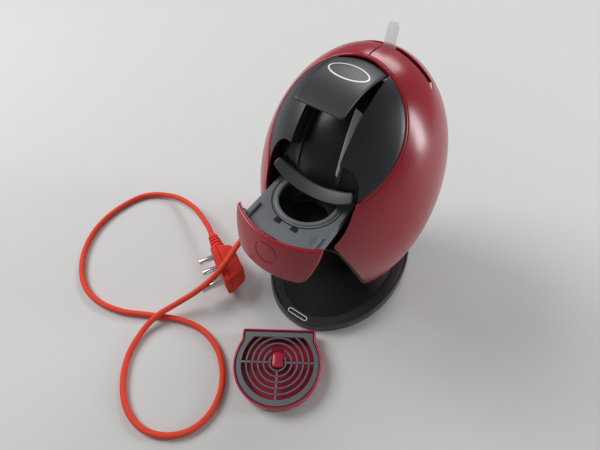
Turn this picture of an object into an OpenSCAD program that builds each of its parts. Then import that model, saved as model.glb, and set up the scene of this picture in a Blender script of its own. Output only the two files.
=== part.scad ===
// Pod coffee machine with an egg-shaped body, a pull-out pod drawer and a lift-off drip tray.
// The machine faces -Y. The origin is on the surface it stands on, under the middle of its base.

/* [Body] */
// Half of the widest width of the egg-shaped body
egg_half_width = 86.4; // [84:0.1:90]
// Half of the deepest depth of the body
egg_half_depth = 102.5; // [100:0.1:106]
// Half of the height of the whole egg
egg_half_height = 154.4; // [150:0.1:158]
// Height of the middle of the egg
egg_mid_z = 146.6; // [143:0.1:150]
// How much fuller the egg is towards the top
egg_fullness = 0.095; // [0.06:0.005:0.12]
// Wall of the moulded shells
shell_wall = 2.5; // [2:0.1:3]

/* [Base] */
// Half width of the oval base
base_half_width = 79.7; // [76:0.1:84]
// Half depth of the oval base
base_half_depth = 107; // [103:0.5:112]
// Height of the base rim
base_height = 15; // [13:0.5:16]

/* [Cup bay] */
// Half width of the cup bay
bay_half_width = 58.5; // [54:0.5:60]
// Height of the widest part of the bay's arch
bay_spring_z = 90; // [80:1:100]
// Height of the arch above its widest part
bay_arch_height = 109; // [100:1:112]
// How far back the bay reaches
bay_back_y = 2; // [-2:0.5:6]

/* [Pod drawer] */
// How far the drawer stands out
drawer_out = 42; // [0:1:58]
// Top of the pod plate
plate_z = 206; // [204:0.5:207]
// Radius of the pod hole
pod_hole_r = 25.3; // [24:0.1:26]
// Where the pod hole's middle is with the drawer shut
pod_y = -36.6; // [-38:0.2:-35]

/* [Locking handle] */
// How far the handle is raised
handle_open = 26; // [0:1:26]
// Half width of the recess that the handle closes
recess_half_width = 22.5; // [21:0.5:24]

/* [Selector lever] */
// Rest angle of the lever
lever_angle = 2.5; // [-48:0.5:48]
// Height of the lever's pivot
lever_pivot_z = 240; // [238:0.5:242]
// Distance from the pivot to the lever's tip
lever_length = 75; // [72:0.5:78]

/* [Water tank] */
// Depth at which the tank begins behind the shells
tank_front_y = 58.5; // [57:0.5:60]
// Height of the tank's floor
tank_floor_z = 74; // [72:0.5:78]
// Height of the tank's rim, where its lid begins
tank_rim_z = 236; // [232:0.5:240]

/* [Drip tray] */
// Radius of the tray's round front
tray_r = 49; // [47:0.5:50]
// Height of the tray
tray_height = 16; // [14:0.5:18]
// How far the tray lies turned from the machine
tray_turn = 33; // [25:1:40]

/* [Mains lead] */
// Diameter of the lead
cord_d = 7; // [6:0.5:8]
// Half height of the plug as it lies on its side
plug_half = 25.3; // [24:0.1:26]

/* [Hidden] */
$fn = 48;
gap = 0.4;
facets = 48;
egg_steps = 24;
egg_y = 1.6;
egg_ratio = egg_half_depth / egg_half_width;
far = 400;

// The round opening of the front lies in a plane that leans back at this angle.
face_lean = 45;
face_top_z = 298;

// Pod drawer
front_low_z = 174;
front_high_z = 214.5;
front_low_half = 33.4;
front_high_half = 42.2;
front_round_z = 212;
plate_half = 36.5;
plate_thick = 3;
plate_back_y = 40;
cup_low_z = 180;
deck_z = 172;

// Locking handle
hinge_y = -7;
hinge_z = 292.8;
hinge_r = 1.2;
knuckle_r = 3;
knuckle_half = 19.5;
flap_half = 21;
flap_front_y = -64.5;
flap_rear_y = -2.3;
flap_rear_sweep = 3.6;
flap_thick = 3;

// Brew head
dome_r = 66;
dome_y = -5;
dome_z = 215;
lip_mid_z = 285.4;
lip_r = 67;
lip_turn = 33;

// Cheeks: their lower end, how far up and sideways their foot rounds off, and how deep
front_clear_z = 226;
cheek_foot_z = 254;
cheek_foot_width = 24.3;
cheek_cut_y = -40;

// Power button, in the rear foot
button_x = 22;
button_z = 60;

// Selector slot
slot_front_y = 31;
slot_back_y = 40;
slot_turn = 56;
slot_floor_r = 49;
lever_y = 36;

// Drip tray, in its own frame: its flat back edge is at y = 0 and it reaches to -y
tray_x = -4.4;
tray_y = -127.9;
tray_mid_y = -39;
tray_back_half = 42;
tray_corner = 2.5;
tray_waist_r = 14;
ring_mid_y = -38;

// Mains lead: outlet in the base's rear edge and the plug's place
outlet_x = -30;
outlet_y = 98;
outlet_z = 7;
relief_end_y = 128;
plug_x = -119.5;
plug_y = -105.5;
plug_turn = -28;
plug_relief_end = 42;
plug_axis_v = 11;
pin_gap = 25.4;
earth_offset = 28.6;

// The lead's route, from the machine to the plug: points chosen by hand along its middle line
cord_route = [
    [-30, 128.4, 7], [-30, 144, 5.5], [-40, 166, 4], [-62, 175, 4], [-87, 168, 4],
    [-107, 146, 4], [-119, 114, 4], [-125, 72, 4], [-126, 28, 5], [-121, -12, 15],
    [-110, -50, 36], [-99, -86, 52], [-95, -108, 53], [-98, -129, 44], [-109, -150, 30],
    [-124, -172, 17], [-135, -195, 11.2], [-138, -218, 6], [-131, -247, 4], [-113, -272, 4],
    [-89, -289, 4], [-62, -294, 4], [-37, -286, 4], [-18, -267, 4], [-12, -240, 4],
    [-22, -211, 4], [-47, -187, 4], [-80, -177, 4], [-112, -182, 4], [-146, -198, 4],
    [-180, -215, 4], [-216, -222, 4], [-250, -214, 4], [-281, -188, 4], [-300, -152, 4],
    [-303, -112, 4], [-289, -70, 4], [-252, -49, 7], [-206, -53, 19], [-168, -67.3, 25.3],
    [-151.8, -75.9, 25.3]
];
cord_rings_per_span = 2;
cord_sides = 8;

// ---------- shared shapes ----------

// Half section of the egg, grown outwards by g, as points (radius, height).
function egg_profile(g) = [for (i = [0:egg_steps])
    let (a = -90 + 180 * i / egg_steps)
    [max((egg_half_width + g) * cos(a) * (1 + egg_fullness * sin(a)), 0),
     egg_mid_z + (egg_half_height + g) * sin(a)]];

// The egg: a solid of revolution stretched from front to back.
module egg(g = 0) {
    translate([0, egg_y, 0]) scale([1, egg_ratio, 1])
        rotate_extrude($fn = facets) polygon(egg_profile(g));
}

// Free-form moulded pieces keep one faceted surface.
module moulded() { resize([0, 0, 0]) children(); }

// A sheet of the egg's wall, from g_out down to g_in.
module egg_sheet(g_out, g_in) {
    difference() {
        egg(g_out);
        egg(g_in);
    }
}

// Everything in front of and above the leaning plane of the front opening.
module face_side(shift = 0) {
    translate([0, 0, face_top_z + shift]) rotate([face_lean, 0, 0])
        translate([-far / 2, -far / 2, 0]) cube([far, far, far]);
}

function oval(a, b, n = 72) = [for (i = [0:n - 1]) [a * cos(360 * i / n), b * sin(360 * i / n)]];

// Outline of the cup bay's arch in the XZ plane, grown by g.
function arch(g, top = far) = concat(
    [[bay_half_width + g, 0]],
    [for (i = [0:24]) let (a = 180 * i / 24)
        [(bay_half_width + g) * cos(a), min(bay_spring_z + (bay_arch_height + g) * sin(a), top)]],
    [[-bay_half_width - g, 0]]);

// Extrudes an XZ outline from y0 to y1.
module along_y(y0, y1) {
    translate([0, y1, 0]) rotate([90, 0, 0]) linear_extrude(y1 - y0) children();
}

// Extrudes a YZ outline from x0 to x1.
module along_x(x0, x1) {
    translate([x0, 0, 0]) rotate([90, 0, 90]) linear_extrude(x1 - x0) children();
}

// Half width of the drawer's front at height z.
function front_half(z) = front_low_half + (front_high_half - front_low_half)
    * sin(90 * min(1, (z - front_low_z) / (front_round_z - front_low_z)));

// Outline of the drawer's front, grown by g, up to the height top.
function front_outline(g, top) = concat(
    [for (i = [0:8]) let (z = front_low_z + (front_round_z - front_low_z) * i / 8)
        [front_half(z) + g, z - (i == 0 ? g : 0)]],
    [[front_high_half + g, top], [-front_high_half - g, top]],
    [for (i = [8:-1:0]) let (z = front_low_z + (front_round_z - front_low_z) * i / 8)
        [-front_half(z) - g, z - (i == 0 ? g : 0)]]);

module at_handle() {
    translate([0, hinge_y, hinge_z]) rotate([-handle_open, 0, 0]) translate([0, -hinge_y, -hinge_z])
        children();
}

module at_tray() { translate([tray_x, tray_y, 0]) rotate([0, 0, tray_turn]) children(); }

module at_plug() { translate([plug_x, plug_y, plug_half]) rotate([0, 0, plug_turn]) children(); }

// ---------- base ----------

foot_places = [[0, 0], [-46, -62], [46, -62], [-46, 66], [46, 66]];
screw_places = [[-16, 12], [16, 12], [-13, 27], [13, 27]];

module base_plate() {
    color("#17181a") difference() {
        translate([0, 0, 1.5]) linear_extrude(base_height - 1.5)
            polygon(oval(base_half_width, base_half_depth));
        difference() {
            translate([0, 0, 9]) linear_extrude(base_height)
                polygon(oval(base_half_width - 3, base_half_depth - 3));
            translate([-far / 2, 80, 0]) cube([far, far, far]);
        }
        translate([0, 0, 6]) linear_extrude(base_height)
            polygon(oval(base_half_width - 16, base_half_depth - 16));
        translate([outlet_x - 9, outlet_y, 0]) cube([18, 20, base_height + 1]);
        translate([outlet_x, outlet_y + 1, outlet_z]) rotate([90, 0, 0]) cylinder(r = 5, h = 12);
        for (p = foot_places) translate([p.x, p.y, 0]) cylinder(r = 7.1, h = 3.1);
        for (p = screw_places) translate([p.x, p.y, 0]) {
            cylinder(r = 4.2, h = 4);
            cylinder(r = 2.05, h = 10);
        }
    }
}

module base_weight() {
    color("#8c8f93") difference() {
        translate([-20, 7, 6.2]) cube([40, 19, 5]);
        for (p = screw_places) translate([p.x, p.y, 0]) cylinder(r = 5, h = 20);
    }
}

module rubber_feet() {
    color("#101011") for (p = foot_places) translate([p.x, p.y, 0]) cylinder(r = 7, h = 3);
}

module base_screws() {
    color("silver") for (p = screw_places) translate([p.x, p.y, 0]) {
        translate([0, 0, 1.9]) cylinder(r = 3.6, h = 2);
        translate([0, 0, 3.9]) cylinder(r = 2, h = 15);
    }
}

// A blank pill-shaped outline on the base's front rim.
module base_badge() {
    color("#d8dadc") translate([0, -99.9, 9]) linear_extrude(0.5) difference() {
        union() {
            translate([-9.5, -2.6]) square([19, 5.2]);
            for (s = [-1, 1]) translate([s * 9.5, 0]) circle(2.6);
        }
        translate([-9.5, -2]) square([19, 4]);
        for (s = [-1, 1]) translate([s * 9.5, 0]) circle(2);
    }
}

// ---------- shells ----------

// The wall of the body in front of the tank, with its openings.
module body_wall() {
    difference() {
        egg_sheet(0, -shell_wall);
        face_side();
        along_y(-far / 2, -40) polygon(front_outline(0.8, 228));
        along_y(-far / 2, bay_back_y) polygon(arch(0));
        translate([-far / 2, tank_front_y - gap, 0]) cube([far, far, far]);
        translate([-far / 2, -far / 2, -far]) cube([far, far, far + 6.3]);
        slot_sector(slot_front_y, slot_back_y, 0, 100, slot_turn);
    }
}

// A sector about the lever's pivot, between two depths and two radii, turned to either side.
module slot_sector(y0, y1, r0, r1, turn) {
    translate([0, y1, lever_pivot_z]) rotate([90, 0, 0]) rotate([0, 0, 90 - turn])
        rotate_extrude(angle = 2 * turn, $fn = 96)
            translate([r0, 0]) square([r1 - r0, y1 - y0]);
}

module half(side) {
    intersection() {
        children();
        translate([side > 0 ? 0.1 : -far - 0.1, -far / 2, -far / 2]) cube([far, far, 2 * far]);
    }
}

module shell_left() { color("#8e1020") moulded() half(-1) body_wall(); }

module shell_right() { color("#8e1020") moulded() half(1) body_wall(); }

// Dark channel under the selector's slot, with a slit for the lever.
module slot_liner() {
    color("#4a0a12") moulded() intersection() {
        egg(-shell_wall - 0.2);
        difference() {
            slot_sector(slot_front_y - 2, slot_back_y + 2, slot_floor_r - 2, 90, slot_turn + 2);
            slot_sector(slot_front_y, slot_back_y, slot_floor_r, 100, slot_turn);
            slot_sector(lever_y - 3, lever_y + 3, slot_floor_r - 4, 100, slot_turn - 1);
        }
    }
}

// Black housing under the tank, with the power button's hole.
module rear_foot() {
    color("#1b1c1e") moulded() difference() {
        intersection() {
            egg(0);
            translate([-far / 2, tank_front_y - 0.2, 24]) cube([far, far, tank_floor_z - 24.5]);
        }
        intersection() {
            egg(-shell_wall);
            translate([-far / 2, tank_front_y + 2, 26]) cube([far, far, tank_floor_z - 29.5]);
        }
        translate([button_x, 95, button_z]) rotate([90, 0, 0]) cylinder(r = 6.4, h = 34, $fn = 32);
        translate([0, 68, tank_floor_z - 6]) cylinder(r = 9.2, h = 20, $fn = 40);
    }
}

// ---------- front face ----------

// Outline in the XZ plane of what is cut from a cheek's foot, so that it rounds off over the lip.
function cheek_foot() = concat([[0, 0], [0, cheek_foot_z]],
    [for (i = [0:10]) let (a = 90 - 9 * i)
        [recess_half_width + cheek_foot_width * cos(a),
            front_clear_z + (cheek_foot_z - front_clear_z) * sin(a)]], [[far, front_clear_z], [far, 0]]);

// One of the two bulging black panels beside the recess, with the recess's side wall, which
// carries one end of the handle's hinge pin.
module cheek(side) {
    color("#1a1b1d") moulded() half(side) difference() {
        intersection() {
            union() {
                egg_sheet(-0.6, -3.2);
                intersection() {
                    egg(-1);
                    translate([side * (recess_half_width + 1.25) - 1.25, -far / 2, 0])
                        cube([2.5, far / 2 + dome_y, far]);
                }
            }
            union() {
                face_side(1);
                intersection() {
                    egg(-shell_wall - 0.4);
                    translate([-far / 2, hinge_y - 6, hinge_z - 8]) cube([far, 10, far]);
                }
            }
            translate([-far / 2, -far / 2, front_clear_z]) cube([far, far, far]);
        }
        translate([-recess_half_width, -far, 0]) cube([2 * recess_half_width, 2 * far, far]);
        translate([-far / 2, hinge_y, hinge_z]) rotate([0, 90, 0])
            cylinder(r = hinge_r + 0.06, h = far, $fn = 24);
        along_y(-far / 2, cheek_cut_y) polygon([for (p = cheek_foot()) [side * p.x, p.y]]);
        lip_band(1.2);
    }
}

module cheek_left() { cheek(-1); }

module cheek_right() { cheek(1); }

// Black walls of the cup bay: its arch, its back and its ceiling with the outlet hole.
module bay_liner() {
    color("#0e0f10") moulded() difference() {
        intersection() {
            union() {
                egg(-shell_wall - 0.3);
                intersection() {
                    egg(-0.4);
                    along_y(-far / 2, bay_back_y - 0.1) square(2 * far, center = true);
                }
            }
            along_y(-far / 2, bay_back_y + 2) polygon(arch(-0.3, deck_z));
            translate([-far / 2, -far / 2, 9.4]) cube([far, far, far]);
        }
        along_y(-far / 2, bay_back_y) polygon(arch(-2.3, deck_z - 2));
        translate([0, pod_y, deck_z - 10]) cylinder(r = 20, h = 20, $fn = 48);
    }
}

// Band of the lip under the brew head, grown by g.
module lip_band(g = 0) {
    translate([0, 0, lip_mid_z]) rotate([90, 0, 0]) rotate([0, 0, -90 - lip_turn - g])
        rotate_extrude(angle = 2 * lip_turn + 2 * g, $fn = 96)
            polygon([[lip_r - g, 68 - g], [lip_r - g, 70.5], [lip_r + 6.5, 79 + g],
                [lip_r + 9 + g, 78 + g], [lip_r + 9 + g, 74], [lip_r + 3, 68 - g]]);
}

// Grey-black band that curves under the brew head, over the drawer.
module front_lip() { color("#2c2f31") lip_band(); }

// Smooth dark dome at the bottom of the recess, which covers the brew head.
module brew_dome() {
    color("#141517") difference() {
        intersection() {
            translate([0, dome_y, dome_z]) sphere(r = dome_r, $fn = 64);
            translate([-18, dome_y - dome_r, lip_mid_z - lip_r + 2.6]) cube([36, dome_r, 58]);
        }
        translate([0, dome_y, dome_z]) sphere(r = dome_r - 2.6, $fn = 64);
    }
}

// Two grey strips beside the dome that the handle's flap closes onto.
module latch_guides() {
    color("#6d7073") for (s = [-1, 1]) along_x(s * 20.2 - 1.3, s * 20.2 + 1.3)
        polygon([[-30, 281], [-45, 271.5], [-56, 261.5], [-66, 246], [-71.5, 230], [-60, 230],
            [-52, 250], [-40, 262], [-28, 272]]);
}

// ---------- locking handle ----------

module hinge_pin() {
    color("silver") translate([-24, hinge_y, hinge_z]) rotate([0, 90, 0])
        cylinder(r = hinge_r, h = 48);
}

// Plan of the flap: a straight front and a rear edge that bows back in the middle.
function flap_plan() = concat([[-flap_half, flap_front_y], [flap_half, flap_front_y]],
    [for (i = [0:16]) let (x = flap_half * (1 - i / 8))
        [x, flap_rear_y - flap_rear_sweep * pow(x / knuckle_half, 2)]]);

// The flap, shut flush with the cheeks, then raised by handle_open about its hinge.
module handle_flap() {
    color("#202224") at_handle() moulded() difference() {
        union() {
            intersection() {
                egg_sheet(-0.6, -0.6 - flap_thick);
                translate([0, 0, egg_mid_z]) linear_extrude(far) polygon(flap_plan());
            }
            intersection() {
                egg(-1.5);
                translate([-knuckle_half, hinge_y - knuckle_r, hinge_z])
                    cube([2 * knuckle_half, knuckle_r + 2, 8]);
            }
            translate([-knuckle_half, hinge_y, hinge_z]) rotate([0, 90, 0])
                cylinder(r = knuckle_r, h = 2 * knuckle_half, $fn = 32);
        }
        translate([-far / 2, hinge_y, hinge_z]) rotate([0, 90, 0])
            cylinder(r = hinge_r + 0.06, h = far, $fn = 24);
    }
}

// A plain white oval ring on the flap.
module handle_badge() {
    color("#e8e9ea") at_handle() moulded() intersection() {
        egg_sheet(-0.1, -0.6);
        translate([0, -29, egg_mid_z]) linear_extrude(far) difference() {
            polygon(oval(17.5, 9.5, 48));
            polygon(oval(16.3, 8.3, 48));
        }
    }
}

// ---------- pod piercer ----------

module needle_carrier() {
    color("#3a3d40") translate([0, pod_y, 0]) difference() {
        union() {
            translate([0, 0, 215]) cylinder(r = 22, h = 4);
            translate([0, 0, 219]) cylinder(r = 5, h = 8);
        }
        translate([0, 0, 210]) cylinder(r = 1.5, h = 30);
    }
}

module pod_needle() {
    color("silver") translate([0, pod_y, 0]) {
        translate([0, 0, 214.99]) cylinder(r = 1.45, h = 12);
        translate([0, 0, 213.4]) cylinder(r1 = 0.3, r2 = 1.45, h = 1.6);
    }
}

// ---------- pod drawer ----------

module at_drawer() { translate([0, -drawer_out, 0]) children(); }

// Grey plate with the pod hole, its cup, the groove, two notches and two rails.
module pod_plate() {
    color("#5d6164") at_drawer() difference() {
        union() {
            translate([-plate_half, -86, plate_z - plate_thick])
                cube([2 * plate_half, 86 + plate_back_y - drawer_out, plate_thick]);
            translate([0, pod_y, cup_low_z]) cylinder(r = pod_hole_r + 2, h = plate_z - cup_low_z - 1);
            for (s = [-1, 1]) translate([s * 31.8 - 1.5, -82.5, plate_z - 1]) cube([3, 18.7, 3.5]);
            for (s = [-1, 1]) translate([s * (plate_half - 1) - 1, -84, plate_z - 11])
                cube([2, 80, 11]);
        }
        translate([0, pod_y, cup_low_z + 2]) cylinder(r = pod_hole_r, h = 40);
        translate([0, pod_y, 170]) cylinder(r = 18, h = 40);
        translate([0, pod_y, plate_z - 0.8]) rotate([0, 0, 170])
            rotate_extrude(angle = 200) translate([31, 0]) square([1, 2]);
        for (s = [-1, 1]) translate([s * 8.4 - 3.5, -72.3, plate_z - 2]) cube([7, 5, 4]);
    }
}

// Red curved front, flush with the body when the drawer is shut.
module drawer_front() {
    color("#8e1020") at_drawer() moulded() intersection() {
        egg_sheet(0, -3);
        along_y(-far / 2, -40) polygon(front_outline(0, front_high_z));
        difference() {
            translate([-far / 2, -far / 2, 0]) cube([far, far, far]);
            translate([-plate_half - 0.3, -86.2, plate_z - 11.3]) cube([2 * plate_half + 0.6, 60, 14]);
        }
    }
}

// Small bright spring clip at the left inner end of the front.
module drawer_clip() {
    color("silver") at_drawer() translate([-36.3, -79.9, plate_z + 0.02]) difference() {
        cube([2.6, 1, 7]);
        translate([0.6, -1, 1.5]) cube([1.4, 3, 4]);
    }
}

// ---------- selector ----------

module at_lever() {
    translate([0, lever_y, lever_pivot_z]) rotate([0, lever_angle, 0]) children();
}

// Clear paddle with a round end.
module selector_lever() {
    color([0.85, 0.9, 0.9, 0.5]) at_lever() translate([0, 1.5, 0]) rotate([90, 0, 0])
        linear_extrude(3) union() {
            translate([-5.3, 16.1]) square([10.6, lever_length - 5.3 - 16.1]);
            translate([0, lever_length - 5.3]) circle(5.3);
        }
}

module lever_hub() {
    color("#26282a") at_lever() difference() {
        union() {
            rotate([90, 0, 0]) cylinder(r = 9, h = 8, center = true);
            translate([-7.5, -3, 5]) cube([15, 6, 18]);
        }
        translate([-5.35, -1.55, 16]) cube([10.7, 3.1, 10]);
        rotate([90, 0, 0]) cylinder(r = 3.05, h = 20, center = true);
    }
}

module selector_valve() {
    color("#4b4e50") translate([0, lever_y, lever_pivot_z]) rotate([90, 0, 0]) {
        cylinder(r = 3, h = 12, center = true);
        translate([0, 0, 4.6]) cylinder(r = 11, h = 14);
        translate([0, 0, -9.2]) cylinder(r = 6, h = 4);
    }
}

// ---------- inside ----------

// Frame that holds everything: a rear wall, a deck over the bay and a shelf for the heater.
module chassis() {
    color("#3c3f41") difference() {
        union() {
            translate([-34, 50, 46]) cube([68, 4, 204]);
            translate([-34, 6.2, deck_z + 0.4]) cube([68, 44, 3]);
            translate([-30, 6.2, 11.4]) cube([60, 3, deck_z - 10]);
            for (s = [-1, 1]) translate([s * 31 - 1.5, 9, 40]) cube([3, 42, deck_z - 39]);
            for (s = [-1, 1]) translate([s * 42 - 3, -30, deck_z + 0.4]) cube([6, 80, 3]);
            for (s = [-1, 1]) translate([s * 42 - 1.5, -28, deck_z + 3]) cube([3, 76, 42]);
            translate([-43.5, -10, 227.5]) cube([87, 64, 3]);
            for (s = [-1, 1]) translate([s * 42 - 1.5, -10, deck_z + 40]) cube([3, 60, 18]);
            translate([-20, 6, 11.4]) cube([40, 28, 3]);
        }
        for (p = screw_places) translate([p.x, p.y, 0]) cylinder(r = 2.05, h = 20);
        translate([0, 30, deck_z - 5]) cylinder(r = 19, h = 20);
        translate([-20, 45, 240]) cube([40, 20, 20]);
        translate([-13, 14, 226]) cube([26, 32, 30]);
    }
}

module heater_block() {
    color("#a9acae") difference() {
        translate([-27, -34, 231]) cube([54, 44, 22]);
        translate([-30, -22, 242]) rotate([0, 90, 0]) cylinder(r = 3.5, h = 60);
        translate([-30, -2, 242]) rotate([0, 90, 0]) cylinder(r = 3.5, h = 60);
    }
}

module heater_tubes() {
    color("#b87333") for (y = [-22, -2]) translate([-34, y, 242]) rotate([0, 90, 0])
        cylinder(r = 3.45, h = 68);
}

module pump() {
    color("#6b5a3a") translate([0, 30, 0]) {
        translate([0, 0, 62]) cylinder(r = 15, h = 58);
        translate([0, 0, 50]) cylinder(r = 6, h = 12.01);
        translate([0, 0, 119.99]) cylinder(r = 5, h = 16);
    }
}

module pump_mounts() {
    color("#161616") translate([0, 30, 0]) for (z = [68, 108]) translate([0, 0, z]) difference() {
        translate([-28, -4, 0]) cube([56, 8, 6]);
        translate([0, 0, -1]) cylinder(r = 15.02, h = 10);
    }
}

module flow_meter() {
    color("#d9d7cf") translate([0, 30, 26]) {
        cylinder(r = 13, h = 12);
        translate([0, 0, 12]) cylinder(r = 3, h = 11.99);
        translate([13, -3, 3]) cube([7, 6, 6]);
    }
}

module water_hoses() {
    color([0.9, 0.9, 0.88]) translate([0, 30, 136]) cylinder(r = 3, h = 91);
}

module circuit_board() {
    color("#1f5c3a") {
        translate([36, 12, 60]) cube([1.6, 36, 70]);
        translate([37.6, 16, 70]) cube([9, 12, 14]);
        translate([37.6, 32, 92]) cube([7, 10, 20]);
    }
}

// ---------- water tank ----------

module tank_seat() {
    color("#2a2c2e") translate([0, 68, tank_floor_z - 6]) difference() {
        cylinder(r = 9, h = 5.4);
        translate([0, 0, 1]) cylinder(r = 5.6, h = 10);
    }
}

// Smoked clear cap of the egg behind the shells.
module water_tank() {
    color([0.35, 0.3, 0.3, 0.6]) moulded() difference() {
        intersection() {
            egg(0);
            translate([-far / 2, tank_front_y, tank_floor_z]) cube([far, far, tank_rim_z - tank_floor_z]);
        }
        intersection() {
            egg(-shell_wall);
            translate([-far / 2, tank_front_y + 2.5, tank_floor_z + 3]) cube([far, far, far]);
        }
        translate([0, 68, tank_floor_z - 1]) cylinder(r = 4.1, h = 8, $fn = 40);
    }
}

module tank_valve() {
    color("#2b2d2f") translate([0, 68, 0]) {
        translate([0, 0, tank_floor_z - 4]) cylinder(r = 4, h = 7.5);
        translate([0, 0, tank_floor_z + 3.3]) cylinder(r = 6, h = 4);
    }
}

module tank_lid() {
    color("#8e1020") moulded() difference() {
        intersection() {
            egg(0);
            translate([-far / 2, tank_front_y, tank_rim_z + 0.3]) cube([far, far, far]);
        }
        intersection() {
            egg(-2.5);
            translate([-far / 2, tank_front_y + 2.5, tank_rim_z - 5]) cube([far, far, far]);
        }
        translate([-13.5, 86, tank_rim_z - 1]) cube([27, 10, 5]);
    }
}

module lid_pin() {
    color("silver") translate([-13, 88, tank_rim_z + 1.8]) rotate([0, 90, 0]) cylinder(r = 1.2, h = 26);
}

// ---------- power button ----------

module power_button() {
    color("#c9cbcd") translate([button_x, 78.3, button_z]) rotate([90, 0, 0]) {
        cylinder(r = 6, h = 13.8);
        translate([0, 0, 13.79]) cylinder(r = 7.5, h = 1);
    }
}

module button_spring() {
    color("silver") translate([button_x, 61.6, button_z]) rotate([90, 0, 0]) difference() {
        cylinder(r = 4, h = 1);
        translate([0, 0, -1]) cylinder(r = 3, h = 9);
    }
}

// ---------- drip tray ----------

// Outline of the tray, grown by g: a flat back with round corners, two hollow shoulders and a
// round front. It is given by its right half, from the back corner to the front.
tray_waist_x = tray_back_half + tray_waist_r;
tray_waist_y = tray_mid_y + sqrt(pow(tray_r + tray_waist_r, 2) - pow(tray_waist_x, 2));
tray_turn_off = atan2(tray_waist_y - tray_mid_y, tray_waist_x);
function tray_half(g) = let (c = max(tray_corner + g, 0.5)) concat(
    [for (i = [0:4]) let (a = 90 - 22.5 * i)
        [tray_back_half + g - c + c * cos(a), g - c + c * sin(a)]],
    [for (i = [0:5]) let (a = 180 + tray_turn_off * i / 5)
        [tray_waist_x + (tray_waist_r - g) * cos(a), tray_waist_y + (tray_waist_r - g) * sin(a)]],
    [for (i = [1:24]) let (a = tray_turn_off - (tray_turn_off + 90) * i / 24)
        [(tray_r + g) * cos(a), tray_mid_y + (tray_r + g) * sin(a)]]);
module tray_outline(g = 0) {
    line = tray_half(g);
    polygon(concat(line, [for (i = [len(line) - 2:-1:0]) [-line[i].x, line[i].y]]));
}

module tray_pan() {
    color("#a01426") at_tray() difference() {
        linear_extrude(tray_height) tray_outline(0);
        translate([0, 0, 2]) linear_extrude(tray_height) tray_outline(-2);
    }
    color("#a01426") at_tray() translate([0, -35, 1.99]) linear_extrude(tray_height - 4)
        square([12, 16], center = true);
}

// Grey grid: a frame, rings about the tray's middle, and cross bars.
module tray_grid() {
    color("#4d5154") at_tray() translate([0, 0, tray_height - 5]) difference() {
        union() {
            linear_extrude(3.5) difference() {
                tray_outline(-2.6);
                intersection() {
                    translate([0, ring_mid_y]) circle(40.5, $fn = 96);
                    translate([-60, -100]) square([120, 100 - 9]);
                }
            }
            intersection() {
                translate([0, ring_mid_y, 0]) for (r = [9.2, 15.6, 22, 28.4, 34.8]) difference() {
                    cylinder(r = r + 0.8, h = 3);
                    translate([0, 0, -1]) cylinder(r = r - 0.8, h = 5);
                }
                translate([-50, -90, 0]) cube([100, 81.5, 3]);
            }
            translate([-41, ring_mid_y - 1, 0]) cube([82, 2, 3]);
            translate([-1, -80, 0]) cube([2, 42, 3]);
        }
        translate([-7, -44, -1]) cube([14, 26, 6]);
    }
}

// ---------- mains lead ----------

module strain_relief() {
    color("#d2301f") translate([outlet_x, 0, outlet_z]) rotate([-90, 0, 0]) {
        translate([0, 0, outlet_y - 8]) cylinder(r = 4.95, h = 8.01);
        translate([0, 0, outlet_y]) cylinder(r = 6.4, h = 2.5);
        translate([0, 0, outlet_y + 2.49]) cylinder(r1 = 5.2, r2 = 4.1, h = relief_end_y - outlet_y - 2.49);
    }
}

// Catmull-Rom curve through the route's points.
function route_point(p, i) = p[max(0, min(len(p) - 1, i))];
function spline(a, b, c, d, t) = 0.5 * (2 * b + (c - a) * t + (2 * a - 5 * b + 4 * c - d) * t * t
    + (3 * b - a - 3 * c + d) * t * t * t);
function smooth(p, n) = concat([for (i = [0:len(p) - 2], k = [0:n - 1])
    spline(route_point(p, i - 1), p[i], p[i + 1], route_point(p, i + 2), k / n)], [p[len(p) - 1]]);
function unit(v) = v / norm(v);

// A tube of n sides along the points of p; each ring stands across the path.
module tube(p, r, n) {
    last = len(p) - 1;
    along = [for (i = [0:last]) unit(p[min(last, i + 1)] - p[max(0, i - 1)])];
    side = [for (t = along) unit(cross([0, 0, 1], t))];
    rings = [for (i = [0:last], k = [0:n - 1])
        p[i] + r * (cos(360 * k / n) * side[i] + sin(360 * k / n) * cross(along[i], side[i]))];
    walls = [for (i = [0:last - 1], k = [0:n - 1])
        [i * n + k, i * n + (k + 1) % n, (i + 1) * n + (k + 1) % n, (i + 1) * n + k]];
    ends = [[for (k = [n - 1:-1:0]) k], [for (k = [0:n - 1]) last * n + k]];
    polyhedron(rings, concat([for (w = walls) [w[0], w[1], w[2]]], [for (w = walls) [w[0], w[2], w[3]]],
        [for (k = [1:n - 2]) [ends[0][0], ends[0][k], ends[0][k + 1]]],
        [for (k = [1:n - 2]) [ends[1][0], ends[1][k], ends[1][k + 1]]]));
}

module mains_cord() {
    color("#e2412a") tube(smooth(cord_route, cord_rings_per_span), cord_d / 2, cord_sides);
}

// Plug, lying on its side with the pins level. In its frame u (x) runs away from the lead,
// v (y) runs away from the pins and w (z) is up.
module plug_body() {
    color("#d9301f") at_plug() hull() {
        for (s = [-1, 1]) {
            translate([-8, 4, s * (plug_half - 4)]) rotate([0, 90, 0]) cylinder(r = 4, h = 14, $fn = 24);
            translate([0, 20, s * (plug_half - 12)]) sphere(r = 7, $fn = 24);
            translate([37, 4, s * 12]) sphere(r = 4, $fn = 24);
            translate([30, 20, s * 8]) sphere(r = 7, $fn = 24);
        }
        translate([-14, plug_axis_v, 0]) rotate([0, 90, 0]) cylinder(r = 10, h = 4, $fn = 24);
    }
}

module plug_relief() {
    color("#d9301f") at_plug() translate([-14.02, plug_axis_v, 0]) rotate([0, -90, 0])
        cylinder(r1 = 9, r2 = 5.4, h = plug_relief_end - 14);
}

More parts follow.
